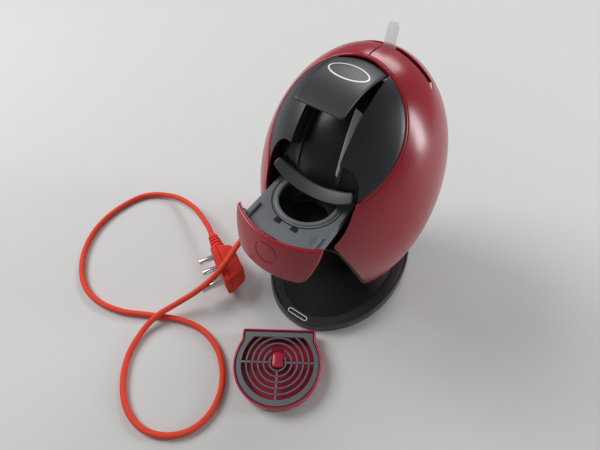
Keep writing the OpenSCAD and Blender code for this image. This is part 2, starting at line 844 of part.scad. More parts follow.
module plug_pins() {
    color("silver") at_plug() rotate([90, 0, 0]) {
        for (s = [-1, 1]) translate([0, s * pin_gap / 2, 0.02]) cylinder(r = 3.525, h = 19);
        translate([earth_offset, 0, 0.02]) cylinder(r = 4.35, h = 28.6);
    }
}

base_plate();
base_weight();
rubber_feet();
base_screws();
base_badge();
shell_left();
shell_right();
slot_liner();
rear_foot();
cheek_left();
cheek_right();
bay_liner();
chassis();
front_lip();
brew_dome();
latch_guides();
hinge_pin();
handle_flap();
handle_badge();
needle_carrier();
pod_needle();
pod_plate();
drawer_front();
drawer_clip();
selector_lever();
lever_hub();
selector_valve();
heater_block();
heater_tubes();
pump();
pump_mounts();
flow_meter();
water_hoses();
circuit_board();
tank_seat();
water_tank();
tank_valve();
tank_lid();
lid_pin();
power_button();
button_spring();
tray_pan();
tray_grid();
strain_relief();
mains_cord();
plug_body();
plug_relief();
plug_pins();
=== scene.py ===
"""Looks for the pod coffee machine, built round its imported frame.

Every surface is made in millimetres in the machine's own frame: +Z up, the front faces -Y, and
the origin is on the surface that the machine stands on. Run as a script it builds everything.
"""

import math

import bmesh
import bpy
import numpy as np
from bpy.props import FloatProperty, FloatVectorProperty, PointerProperty
from mathutils import Matrix, Vector


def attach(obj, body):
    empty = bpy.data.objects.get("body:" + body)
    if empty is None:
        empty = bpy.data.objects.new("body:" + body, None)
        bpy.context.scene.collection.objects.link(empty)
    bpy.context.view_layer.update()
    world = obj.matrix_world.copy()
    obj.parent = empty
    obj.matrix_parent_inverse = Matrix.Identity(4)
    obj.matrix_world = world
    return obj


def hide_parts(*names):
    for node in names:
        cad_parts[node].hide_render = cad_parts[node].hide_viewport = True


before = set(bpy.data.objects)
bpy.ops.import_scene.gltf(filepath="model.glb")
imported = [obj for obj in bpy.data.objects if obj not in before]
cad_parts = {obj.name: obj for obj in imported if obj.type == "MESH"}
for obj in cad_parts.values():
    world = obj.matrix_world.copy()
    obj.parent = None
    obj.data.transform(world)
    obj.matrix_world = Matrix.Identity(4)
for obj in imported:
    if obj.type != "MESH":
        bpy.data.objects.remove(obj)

bl_info = {
    "name": "Pod coffee machine",
    "version": (1, 0, 0),
    "blender": (4, 5, 0),
    "location": "3D View > Sidebar > Coffee machine",
    "description": "Builds the looks of an egg-shaped pod coffee machine round its frame",
    "category": "Object",
}

# The egg that the body is made of, in mm.
HALF_W, HALF_H, MID_Y, MID_Z = 86.4, 154.4, 1.6, 146.6
RATIO, FULL = 102.5 / 86.4, 0.095
FACE_TOP = 298.0
BASE_A, BASE_B = 79.7, 107.0
DRAWER_OUT, POD_Y, PLATE_Z = 42.0, -36.6, 206.0
HINGE_Y, HINGE_Z, HANDLE_OPEN = -7.0, 292.8, 26.0
LEVER_Y, LEVER_Z, LEVER_TURN = 36.0, 240.0, 2.5
TANK_Y = 58.5
TRAY_X, TRAY_Y, TRAY_TURN, TRAY_HIGH = -4.4, -127.9, 33.0, 16.0
# The tray's round front, its hollow shoulders and its flat back; the bay's arch; the dome.
TRAY_MID, TRAY_R, WAIST_R, TRAY_HALF = -39.0, 49.0, 14.0, 42.0
ARCH_HALF, ARCH_SPRING, ARCH_HIGH = 58.5, 90.0, 109.0
DOME_Y, DOME_Z, DOME_R = -5.0, 215.0, 66.0
LIP_Z, FACE_FOOT = 285.4, 226.0
PLUG_X, PLUG_Y, PLUG_TURN, PLUG_HALF, PLUG_AXIS = -119.5, -105.5, -28.0, 25.3, 11.0
OUTLET = (-30.0, 98.0, 7.0)
ROUTE = [
    (-30, 102, 7), (-30, 128.4, 7), (-30, 144, 5.5), (-40, 166, 4), (-62, 175, 4),
    (-87, 168, 4), (-107, 146, 4), (-119, 114, 4), (-125, 72, 4), (-126, 28, 5), (-121, -12, 15),
    (-110, -50, 36), (-99, -86, 52), (-95, -108, 53), (-98, -129, 44), (-109, -150, 30),
    (-124, -172, 17), (-135, -195, 11.2), (-138, -218, 6), (-131, -247, 4), (-113, -272, 4),
    (-89, -289, 4), (-62, -294, 4), (-37, -286, 4), (-18, -267, 4), (-12, -240, 4),
    (-22, -211, 4), (-47, -187, 4), (-80, -177, 4), (-112, -182, 4), (-146, -198, 4),
    (-180, -215, 4), (-216, -222, 4), (-250, -214, 4), (-281, -188, 4), (-300, -152, 4),
    (-303, -112, 4), (-289, -70, 4), (-252, -49, 7), (-206, -53, 19), (-168, -67.3, 25.3),
    (-151.8, -75.9, 25.3)]


# ---------- the egg ----------

def egg_r(z, g=0.0):
    """Half width of the egg's level section at height z: an ellipse's, made fuller upwards in
    proportion to the height's share of the half height; g grows the egg outwards."""
    s = np.clip((z - MID_Z) / (HALF_H + g), -1, 1)
    return (HALF_W + g) * np.sqrt(1 - s * s) * (1 + FULL * s)


def egg_y(x, z, g=0.0, side=-1):
    """Depth of the egg's surface at (x, z), on its front (side -1) or its rear (side 1)."""
    return MID_Y + side * RATIO * np.sqrt(np.clip(egg_r(z, g) ** 2 - x ** 2, 0, None))


def egg_z(x, y, g=0.0):
    """Height of the egg's upper surface at (x, y)."""
    a = np.radians(np.linspace(90, 4, 600))
    across = (HALF_W + g) * np.cos(a) * (1 + FULL * np.sin(a))
    r = np.hypot(x, (y - MID_Y) / RATIO)
    return MID_Z + (HALF_H + g) * np.interp(r, across, np.sin(a))


def face_y(z):
    """Depth at height z of the front opening's edge, which leans 45 degrees and bows backwards."""
    return z - FACE_TOP + 8 * np.sin(np.pi * np.clip((z - FACE_FOOT) / 72, 0, 1))


def face_x(z, g=0.0, shift=0.0):
    """Half width at height z of the front opening."""
    y = (face_y(z) - shift - MID_Y) / RATIO
    return np.sqrt(np.clip(egg_r(z, g) ** 2 - y ** 2, 0, None))


def front_half(z):
    """Half width of the drawer's front at height z: a quarter sine from its foot to its top."""
    return 33.4 + 8.8 * np.sin(np.radians(90) * np.clip((z - 174) / 38, 0, 1))


# ---------- mesh makers ----------

def mesh_object(name, points, faces, body, material, slot=None, replaces=(), sharp=55):
    """Makes a smooth mesh object from points in mm and a list of faces, merges points that
    coincide, turns its faces outwards, and lets it ride on a body of the frame."""
    mesh = bpy.data.meshes.new(name)
    mesh.from_pydata((np.asarray(points, float) * 0.001).tolist(), [], faces)
    b = bmesh.new()
    b.from_mesh(mesh)
    bmesh.ops.remove_doubles(b, verts=b.verts, dist=4e-6)
    bmesh.ops.dissolve_degenerate(b, edges=b.edges, dist=2e-6)
    bmesh.ops.recalc_face_normals(b, faces=b.faces)
    b.to_mesh(mesh)
    b.free()
    mesh.polygons.foreach_set("use_smooth", np.ones(len(mesh.polygons), bool))
    mesh.set_sharp_from_angle(angle=math.radians(sharp))
    mesh.materials.append(material)
    made = bpy.data.objects.new(name, mesh)
    bpy.context.scene.collection.objects.link(made)
    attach(made, body)
    if replaces:
        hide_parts(*replaces)
    return made


def split_faces(quads):
    """Quads with two equal neighbouring corners become triangles; flatter ones are dropped."""
    same = quads == np.roll(quads, -1, axis=1)
    tris = quads[same.sum(1) == 1]
    keep = ~(tris == np.roll(tris, -1, axis=1))
    return quads[same.sum(1) == 0], tris[keep].reshape(-1, 3)


def grid_quads(nu, nv, wrap_u=False, wrap_v=False):
    """Corner numbers of the quads of a grid of nu by nv points."""
    at = np.arange(nu * nv).reshape(nu, nv)
    at = np.concatenate([at, at[:1]], 0) if wrap_u else at
    at = np.concatenate([at, at[:, :1]], 1) if wrap_v else at
    return np.stack([at[:-1, :-1], at[1:, :-1], at[1:, 1:], at[:-1, 1:]], -1).reshape(-1, 4)


def panel(name, outer, inner, body, material, bulge=0.5, skip=None, steps=4, **more):
    """A sheet between two grids of points. Along its open edges it is closed by half an
    ellipse, as deep as the sheet is thick, that stands out by bulge."""
    quads = grid_quads(*outer.shape[:2])
    if skip is not None:
        quads = quads[~skip.ravel()]
    flat = outer.reshape(-1, 3)
    _, first, to = np.unique(np.round(flat, 3), axis=0, return_index=True, return_inverse=True)
    top, low = flat[first], inner.reshape(-1, 3)[first]
    quads, tris = split_faces(to.ravel()[quads])
    normal = np.zeros_like(top)
    for f in (quads, tris):
        if len(f):
            n = np.cross(top[f[:, 2]] - top[f[:, 0]], top[f[:, -1]] - top[f[:, 1]])
            for k in range(f.shape[1]):
                np.add.at(normal, f[:, k], n)
    edges = np.concatenate([f[:, [k, (k + 1) % f.shape[1]]]
                            for f in (quads, tris) for k in range(f.shape[1])])
    _, at, count = np.unique(np.sort(edges, 1), axis=0, return_index=True, return_counts=True)
    rim = edges[at[count == 1]]
    along = top[rim[:, 1]] - top[rim[:, 0]]
    along /= np.maximum(np.linalg.norm(along, axis=1, keepdims=True), 1e-9)
    across = np.cross(along, normal[rim[:, 0]] + normal[rim[:, 1]])
    across /= np.maximum(np.linalg.norm(across, axis=1, keepdims=True), 1e-9)
    out = np.zeros_like(top)
    np.add.at(out, rim[:, 0], across)
    np.add.at(out, rim[:, 1], across)
    used = np.unique(rim)
    out = out[used] / np.maximum(np.linalg.norm(out[used], axis=1, keepdims=True), 1e-9)
    turn = np.pi * np.arange(1, steps) / steps
    arcs = [(top[used] + low[used]) / 2 + (top[used] - low[used]) / 2 * math.cos(t)
            + out * bulge * math.sin(t) for t in turn]
    n, place = len(top), np.zeros(len(top), int)
    place[used] = np.arange(len(used))
    chain = ([rim] + [2 * n + k * len(used) + place[rim] for k in range(len(turn))] + [rim + n])
    walls = [np.stack([c[:, 1], c[:, 0], d[:, 0], d[:, 1]], 1) for c, d in zip(chain, chain[1:])]
    faces = quads.tolist() + tris.tolist() + (quads[:, ::-1] + n).tolist()
    faces += (tris[:, ::-1] + n).tolist() + np.concatenate(walls).tolist()
    return mesh_object(name, np.concatenate([top, low] + arcs), faces, body, material, **more)


def skin(rings, ends=True):
    """Points and faces of a skin through closed rings of points. With ends it is closed at its
    first and last ring by fans to their middles; without, the last ring joins the first again."""
    rings = np.asarray(rings, float)
    n, m = rings.shape[:2]
    points = rings.reshape(-1, 3)
    faces = grid_quads(n, m, wrap_u=not ends, wrap_v=True).tolist()
    if ends:
        points = np.concatenate([points, rings[[0, -1]].mean(1)])
        ring = np.arange(m)
        for start, middle in ((0, n * m), ((n - 1) * m, n * m + 1)):
            fan = np.stack([start + ring, start + (ring + 1) % m, np.full(m, middle)], 1)
            faces += (fan if start else fan[:, ::-1]).tolist()
    return points, faces


def loft(name, rings, body, material, ends=True, **more):
    """One object of one skin through closed rings."""
    return mesh_object(name, *skin(rings, ends), body, material, **more)


def lofts(name, parts, body, material, **more):
    """One object of several skins, each given as (rings, ends)."""
    points, faces, start = [], [], 0
    for rings, ends in parts:
        p, f = skin(rings, ends)
        quads = len(f) - (2 * np.asarray(rings).shape[1] if ends else 0)
        points.append(p)
        faces += (np.array(f[:quads]) + start).tolist()
        faces += (np.array(f[quads:]) + start).tolist() if ends else []
        start += len(p)
    return mesh_object(name, np.concatenate(points), faces, body, material, **more)


def hull_line(circles, n=120, grow=0.0):
    """Outline, as (n, 2) points, of the tight band round some circles (x, y, radius): in each
    direction the point of the circle that reaches furthest."""
    a = np.linspace(0, 2 * np.pi, n, endpoint=False)
    d = np.stack([np.cos(a), np.sin(a)], 1)
    c = np.array(circles, float)
    best = np.argmax(d @ c[:, :2].T + c[:, 2] + grow, axis=1)
    return c[best, :2] + (c[best, 2:] + grow) * d


def ellipse_line(a, b, grow=0.0, n=180):
    """Outline of an ellipse, moved outwards along its normals by grow."""
    t = np.linspace(0, 2 * np.pi, n, endpoint=False)
    p = np.stack([a * np.cos(t), b * np.sin(t)], 1)
    d = np.stack([np.cos(t) / a, np.sin(t) / b], 1)
    return p + grow * d / np.linalg.norm(d, axis=1, keepdims=True)


def stack(line, profile):
    """Rings of an outline at the heights of a profile of (growth, height) pairs."""
    return [np.column_stack([line(g), np.full(len(line(g)), z)]) for g, z in profile]


def bar(x0, x1, y0, y1, z0, z1, r=0.5, corner=None):
    """Rings of a block with rounded edges of radius r and rounded upright corners."""
    c = corner or r
    circles = [(x, y, c) for x in (x0 + c, x1 - c) for y in (y0 + c, y1 - c)]
    q = [0.0, 0.5, 1.0]
    low = [(-r * (1 - math.sin(math.pi / 2 * k)), z0 + r * (1 - math.cos(math.pi / 2 * k))) for k in q]
    high = [(g, z1 - (z - z0)) for g, z in low[::-1]]
    return stack(lambda g: hull_line(circles, 48, g), low + high)


def lathe(profile, n=48):
    """Rings about the Z axis of a profile of (radius, height) pairs."""
    a = np.linspace(0, 2 * np.pi, n, endpoint=False)
    p = np.asarray(profile, float)
    return np.stack([p[:, :1] * np.cos(a), p[:, :1] * np.sin(a), np.repeat(p[:, 1:], n, 1)], -1)


def ring_band(centre, inside, outside, z0, z1, r=0.4, a0=0.0, a1=360.0, n=180):
    """A flat band between two distances (functions of the angle) from a centre, with rounded
    edges. Returns grids that loft() joins up; a part turn keeps open ends for it to close."""
    full = a1 - a0 >= 360
    t = np.radians(np.linspace(a0, a1, n, endpoint=not full))
    low, high = inside(t), outside(t)
    shape = [(0, r, 0), (0, 0, r), (0, 0, -r), (0, r, 0), (1, -r, 0), (1, 0, -r), (1, 0, r), (1, -r, 0)]
    rows = []
    for k, (far_side, dr, dz) in enumerate(shape):
        radius = (high if far_side else low) + dr
        level = (z1 if 2 <= k <= 5 else z0) + dz
        rows.append(np.stack([centre[0] + radius * np.cos(t), centre[1] + radius * np.sin(t),
                              np.full(len(t), level)], -1))
    rows = np.array(rows)
    return rows if full else rows.transpose(1, 0, 2)


def turn(points, angle, about=(0, 0, 0), axis="X"):
    """Points turned by an angle in degrees about an axis through a point."""
    m = np.array(Matrix.Rotation(math.radians(angle), 3, axis))
    return (np.asarray(points, float) - about) @ m.T + about


def on_drawer(points):
    return np.asarray(points, float) + (0, -DRAWER_OUT, 0)


def on_handle(points):
    return turn(points, -HANDLE_OPEN, (0, HINGE_Y, HINGE_Z))


def on_tray(points):
    return turn(points, TRAY_TURN, axis="Z") + (TRAY_X, TRAY_Y, 0)


def on_plug(points):
    return turn(points, PLUG_TURN, axis="Z") + (PLUG_X, PLUG_Y, PLUG_HALF)


def swap(points, order):
    """Points with their coordinates in another order, as when a stack lies on its side."""
    return np.asarray(points, float)[..., list(order)]


def smooth_line(points, n=5):
    """Catmull-Rom curve through points, n steps from each to the next."""
    p = np.asarray(points, float)
    p = np.concatenate([p[:1], p, p[-1:]])
    t = np.linspace(0, 1, n, endpoint=False)[None, :, None]
    a, b, c, d = (p[k:len(p) - 3 + k, None] for k in range(4))
    line = 0.5 * (2 * b + (c - a) * t + (2 * a - 5 * b + 4 * c - d) * t ** 2
                  + (3 * b - a - 3 * c + d) * t ** 3)
    return np.concatenate([line.reshape(-1, 3), p[-1:]])


def tube(path, radius, sides=12):
    """Rings of a round tube along a path; radius may change from point to point."""
    path = np.asarray(path, float)
    t = np.gradient(path, axis=0)
    t /= np.linalg.norm(t, axis=1, keepdims=True)
    u = np.cross(t, [0.13, 0.31, 0.94])
    u /= np.linalg.norm(u, axis=1, keepdims=True)
    v = np.cross(t, u)
    a = np.linspace(0, 2 * np.pi, sides, endpoint=False)[None, :, None]
    r = np.broadcast_to(radius, len(path))[:, None, None]
    return path[:, None] + r * (np.cos(a) * u[:, None] + np.sin(a) * v[:, None])


# ---------- materials ----------

class Value:
    """A socket of a node tree that takes part in sums; each sum adds a Math node."""

    def __init__(self, tree, socket):
        self.tree, self.socket = tree, socket

    def node(self, kind, settings, inputs, out=0):
        """Any other node: its type, its settings and its inputs; returns one of its outputs."""
        made = self.tree.nodes.new(kind)
        for key, value in settings.items():
            setattr(made, key, value)
        for key, value in inputs.items():
            if isinstance(value, Value):
                self.tree.links.new(value.socket, made.inputs[key])
            else:
                made.inputs[key].default_value = value
        return Value(self.tree, made.outputs[out])

    def math(self, operation, a, b):
        return self.node("ShaderNodeMath", {"operation": operation}, {0: a, 1: b})

    def __add__(self, other):
        return self.math("ADD", self, other)

    def __radd__(self, other):
        return self.math("ADD", other, self)

    def __sub__(self, other):
        return self.math("SUBTRACT", self, other)

    def __rsub__(self, other):
        return self.math("SUBTRACT", other, self)

    def __mul__(self, other):
        return self.math("MULTIPLY", self, other)

    def __rmul__(self, other):
        return self.math("MULTIPLY", other, self)


def finish_of(name, colour, rough=0.4, metal=0.0, coat=0.0, shade=0.12, grain=900.0, bump=0.05,
              clear=0.0, vary=0.12, specular=0.5, band=None):
    """A material made once by name: two shades of a colour mixed by soft patches, a roughness
    that wanders a little, and a fine grain that bends the normal. band = (low, high, colour)
    gives another colour between two heights in mm."""
    if name in bpy.data.materials:
        return bpy.data.materials[name]
    made = bpy.data.materials.new(name)
    made.use_nodes = True
    tree = made.node_tree
    shader = tree.nodes["Principled BSDF"]
    place = tree.nodes.new("ShaderNodeTexCoord")
    at = Value(tree, place.outputs["Object"])
    patches = at.node("ShaderNodeTexNoise", {}, {"Vector": at, "Scale": 22.0, "Detail": 3.0})
    fine = at.node("ShaderNodeTexNoise", {}, {"Vector": at, "Scale": grain, "Detail": 2.0})
    dark = (*[c * (1 - shade) for c in colour], 1)
    light = (*[min(1, c * (1 + shade)) for c in colour], 1)
    tint = at.node("ShaderNodeMix", {"data_type": "RGBA"}, {0: patches, 6: dark, 7: light}, 2)
    if band:
        low, high, other = band
        height = at.node("ShaderNodeSeparateXYZ", {}, {0: at}, 2) * 1000
        inside = at.math("COMPARE", height, (low + high) / 2)
        inside.socket.node.inputs[2].default_value = (high - low) / 2
        tint = at.node("ShaderNodeMix", {"data_type": "RGBA"}, {0: inside, 6: tint, 7: (*other, 1)}, 2)
    roughness = rough + (patches - 0.5) * (2 * vary * rough) + (fine - 0.5) * (vary * rough)
    normal = at.node("ShaderNodeBump", {}, {"Strength": bump, "Distance": 0.0003, "Height": fine})
    for key, value in (("Base Color", tint), ("Roughness", roughness), ("Normal", normal)):
        tree.links.new(value.socket, shader.inputs[key])
    shader.inputs["Metallic"].default_value = metal
    shader.inputs["Coat Weight"].default_value = coat
    shader.inputs["Coat Roughness"].default_value = 0.04
    shader.inputs["Transmission Weight"].default_value = clear
    shader.inputs["Specular IOR Level"].default_value = specular
    made.diffuse_color = (*colour, 1)
    return made


FINISHES = {
    "base_black": dict(colour=(.0075, .0075, .008), rough=.42, grain=1500, bump=.12, specular=.35),
    "base_dish": dict(colour=(.010, .010, .011), rough=.40, grain=1500, bump=.1,
                      band=(7.0, 9.4, (.030, .032, .034))),
    "zinc_steel": dict(colour=(.55, .55, .56), rough=.35, metal=1.0),
    "rubber_black": dict(colour=(.012, .012, .012), rough=.8, bump=.3),
    "badge_print": dict(colour=(.74, .76, .77), rough=.5, shade=.04),
    "body_red": dict(colour=(.335, .0032, .019), rough=.13, coat=.7, grain=260, bump=.010,
                     shade=.05, specular=.35),
    "slot_dark_red": dict(colour=(.085, .004, .010), rough=.3, coat=.5),
    "satin_black": dict(colour=(.009, .009, .010), rough=.38, grain=1500, bump=.1, specular=.35),
    "face_black": dict(colour=(.0065, .0065, .007), rough=.25, grain=1600, bump=.05, coat=.1, specular=.4),
    "dome_black": dict(colour=(.0075, .0075, .008), rough=.34, grain=1600, bump=.03, specular=.4),
    "bay_black": dict(colour=(.004, .004, .0045), rough=.5, grain=1500, bump=.1, specular=.25),
    "frame_grey": dict(colour=(.05, .052, .055), rough=.5),
    "lip_grey": dict(colour=(.013, .0145, .016), rough=.30, grain=1500, bump=.08, coat=.2),
    "satin_grey": dict(colour=(.030, .038, .037), rough=.34, grain=1500, bump=.1),
    # light grey standing in for the light caught on the right panel's inner edge: a painted highlight
    "painted_highlight_strip": dict(colour=(.42, .43, .44), rough=.4, grain=1500, bump=.1),
    "flap_black": dict(colour=(.010, .011, .012), rough=.34, grain=1500, bump=.12, specular=.4),
    "needle_steel": dict(colour=(.62, .62, .63), rough=.2, metal=1.0),
    "clear_acrylic": dict(colour=(.93, .95, .95), rough=.04, clear=.9, shade=.02, bump=.0),
    "cast_aluminium": dict(colour=(.62, .63, .64), rough=.5, metal=1.0, bump=.3),
    "copper_tube": dict(colour=(.72, .40, .22), rough=.3, metal=1.0),
    "pump_brass": dict(colour=(.33, .28, .17), rough=.45),
    "natural_nylon": dict(colour=(.70, .68, .62), rough=.5),
    "silicone_hose": dict(colour=(.78, .78, .74), rough=.4, clear=.3),
    "board_green": dict(colour=(.03, .18, .09), rough=.4, coat=.4),
    "smoked_clear": dict(colour=(.10, .09, .09), rough=.08, clear=.75, shade=.05, bump=.0),
    "button_silver": dict(colour=(.55, .56, .57), rough=.3, metal=.6),
    "tray_red": dict(colour=(.300, .0045, .022), rough=.18, coat=.9, grain=260, bump=.012, shade=.05),
    "grid_grey": dict(colour=(.024, .029, .032), rough=.30, grain=1500, bump=.1, coat=.2),
    "cord_red": dict(colour=(.64, .018, .012), rough=.30, coat=.5, grain=1200, bump=.08, shade=.06),
    "plug_red": dict(colour=(.62, .016, .011), rough=.30, coat=.3, grain=1200, bump=.08, shade=.06),
    "pin_nickel": dict(colour=(.70, .69, .68), rough=.16, metal=1.0),
    # near black for the shade in the plate's groove and notches: painted shade
    "painted_recess_shade": dict(colour=(.003, .003, .003), rough=.6),
}


def finish(name, colour=None):
    """The material of one finish, in the colour of the panel's settings where one is given."""
    kind = dict(FINISHES[name])
    if colour is not None:
        kind["colour"] = tuple(colour)
    return finish_of(name, **kind)


def dress(node, kind, bevel=0.3):
    """Gives a node of the frame its material, and rounds its edges by a modifier."""
    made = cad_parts[node]
    while len(made.material_slots) < 1:
        made.data.materials.append(None)
    for place in made.material_slots:
        place.material = finish(kind)
    weld = made.modifiers.new("weld", "WELD")
    weld.merge_threshold = 5e-6
    if bevel:
        edge = made.modifiers.new("edge", "BEVEL")
        edge.width = bevel * 0.001
        edge.segments = 2
        edge.limit_method = "ANGLE"
        edge.angle_limit = math.radians(40)


# ---------- settings ----------

def length(name, text, value):
    return FloatProperty(name=name, description=text, default=value, min=0.0, unit="LENGTH",
                         precision=5)


def colour(name, text, value):
    return FloatVectorProperty(name=name, description=text, default=value, min=0.0, max=1.0,
                               subtype="COLOR", size=3)


class BodySettings(bpy.types.PropertyGroup):
    wall: length("Wall", "Thickness of the moulded shells", 0.0025)
    bead: length("Bead", "Radius of the rolled bead round the front opening", 0.0014)
    edge: length("Edge", "How far the rounded edges stand out", 0.0005)
    red: colour("Red", "Colour of the shells, the lid and the drawer's front", FINISHES["body_red"]["colour"])


class FrontSettings(bpy.types.PropertyGroup):
    panel: length("Panel", "Thickness of the black panels", 0.0026)
    flap: length("Flap", "Thickness of the handle's flap", 0.003)
    print_width: length("Ring width", "Width of the printed oval's line", 0.0012)
    black: colour("Black", "Colour of the panels beside the recess", FINISHES["face_black"]["colour"])


class DrawerSettings(bpy.types.PropertyGroup):
    plate: length("Plate", "Thickness of the pod plate", 0.003)
    groove: length("Groove", "Depth of the ring engraved in the drawer's front", 0.0006)
    grey: colour("Grey", "Colour of the pod plate", FINISHES["satin_grey"]["colour"])


class BaseSettings(bpy.types.PropertyGroup):
    height: length("Height", "Height of the base's rim", 0.015)
    dish: length("Dish", "Height of the dish's floor", 0.006)
    black: colour("Black", "Colour of the base's rim", FINISHES["base_black"]["colour"])


class TankSettings(bpy.types.PropertyGroup):
    wall: length("Wall", "Thickness of the tank's wall", 0.0025)
    lever: length("Lever", "Thickness of the clear lever", 0.003)
    smoke: colour("Smoke", "Colour of the tank", FINISHES["smoked_clear"]["colour"])


class TraySettings(bpy.types.PropertyGroup):
    bar: length("Bar", "Width of the grid's bars", 0.0016)
    rim: length("Rim", "Width of the tray's rim", 0.002)
    red: colour("Red", "Colour of the tray", FINISHES["tray_red"]["colour"])


class LeadSettings(bpy.types.PropertyGroup):
    diameter: length("Diameter", "Diameter of the mains lead", 0.007)
    pin: length("Pin", "Diameter of the two thinner pins", 0.00705)
    earth: length("Earth pin", "Diameter of the thick pin", 0.0087)
    red: colour("Red", "Colour of the lead", FINISHES["cord_red"]["colour"])


class StageSettings(bpy.types.PropertyGroup):
    lens: length("Lens", "Focal length of the camera", 0.02726)
    floor: colour("Floor", "Colour of the floor", (0.62, 0.62, 0.61))


# ---------- operators ----------

class Piece:
    """What the operators share: they can be undone, and report nothing of their own."""

    bl_options = {"REGISTER", "UNDO"}


def opening_x(z, g):
    """Half width of the shells' opening at height z: the widest of the bay's arch, the drawer's
    slot and the leaning front opening."""
    up = np.clip(z - ARCH_SPRING, 0, None) / ARCH_HIGH
    arch = ARCH_HALF * np.sqrt(np.clip(1 - up ** 2, 0, None))
    slot = np.where((z >= 173.2) & (z <= 228), front_half(z) + 0.8, 0)
    return np.maximum(np.maximum(arch, slot) + 0.5, face_x(z, g, -0.7))


def face_top(g, shift=0.0, wide=0.02, low=290, count=6000):
    """Greatest height at which the half width of the front opening is still above wide, found
    on count levels from low up to the egg's top."""
    z = np.linspace(low, MID_Z + HALF_H + g, count)
    return z[face_x(z, g, shift) > wide].max()


def shell_grid(side, g):
    """Half of the body's wall, as level rows of points from the edge of its opening round to the
    seam or to the tank; columns run along both edges of the lever's slot."""
    heights = (6.3, face_top(g, -0.7), 271.4)
    low, high, end = (math.asin((k - MID_Z) / (HALF_H + g)) for k in heights)
    a = np.concatenate([np.linspace(low, end, 120), np.linspace(end, high, 46)[1:]])[:, None]
    z = MID_Z + (HALF_H + g) * np.sin(a)
    r = egg_r(z, g)
    x = np.minimum(opening_x(z, g), r)
    start = np.arccos(np.clip(x / r, 0, 1)) * np.where(face_y(z) + 0.7 > MID_Y, 1, -1)
    start = np.where(x >= r, 0.4 / (RATIO * r), start)
    stops = [np.maximum(np.arcsin(np.clip((k - MID_Y) / (RATIO * r), -1, 1)), start)
             for k in (30.5, 40.5, 57.9)]
    a = np.concatenate([start + (stops[0] - start) * np.linspace(0, 1, 48),
                        stops[0] + (stops[1] - stops[0]) * np.linspace(0, 1, 5)[1:],
                        stops[1] + (stops[2] - stops[1]) * np.linspace(0, 1, 14)[1:]], 1)
    grid = np.stack([np.maximum(r * np.cos(a), 0.6) * side, MID_Y + RATIO * r * np.sin(a),
                     np.broadcast_to(z, a.shape)], -1)
    column = np.arange(a.shape[1] - 1)
    skip = (z[:-1] > 271.3) & (column >= 47) & (column < 51)
    return grid, skip


class COFFEE_OT_shells(Piece, bpy.types.Operator):
    """Builds the two red shells and the rolled bead round their front opening"""

    bl_idname = "coffee.shells"
    bl_label = "Shells"

    def execute(self, context):
        s = context.scene.coffee_body
        red = finish("body_red", s.red)
        for side, node in ((-1, "shell_left"), (1, "shell_right")):
            outer, skip = shell_grid(side, 0)
            panel(node + "_skin", outer, shell_grid(side, -1000 * s.wall)[0], "housing", red,
                  bulge=1000 * s.edge, skip=skip, slot="body_red", replaces=[node])
        g = -1.2
        low, high = (math.asin((k - MID_Z) / (HALF_H + g)) for k in (218.5, face_top(g)))
        a = np.linspace(low, high, 90)
        z = MID_Z + (HALF_H + g) * np.sin(a)
        half = np.column_stack([face_x(z, g), face_y(z), z])
        z = np.linspace(183, 226, 50)
        x = np.maximum(opening_x(z, g) + 0.9, face_x(z, g))
        foot = np.column_stack([x, egg_y(x, z, g), z])
        half = np.concatenate([foot, half[half[:, 2] > 226.6]])
        path = np.concatenate([half[:-1], half[::-1] * (-1, 1, 1)])
        radius = 1000 * s.bead * (0.35 + 0.65 * np.clip((path[:, 2] - 183) / 36, 0, 1))
        loft("front_bead", tube(path, radius, 14), "housing", red, slot="body_red")
        for side, name in ((-1, "throat_left"), (1, "throat_right")):
            outer, inner = (shell_grid(side, depth)[0] for depth in (-2.9, -3.7))
            rows = (outer[:, 0, 2] > 178) & (outer[:, 0, 2] < 262)
            panel(name, outer[rows, :30], inner[rows, :30], "housing", finish("bay_black"), bulge=0.2,
                  slot="bay_black")
        dress("slot_liner", "slot_dark_red", 0)
        dress("bay_liner", "bay_black", 0)
        return {"FINISHED"}


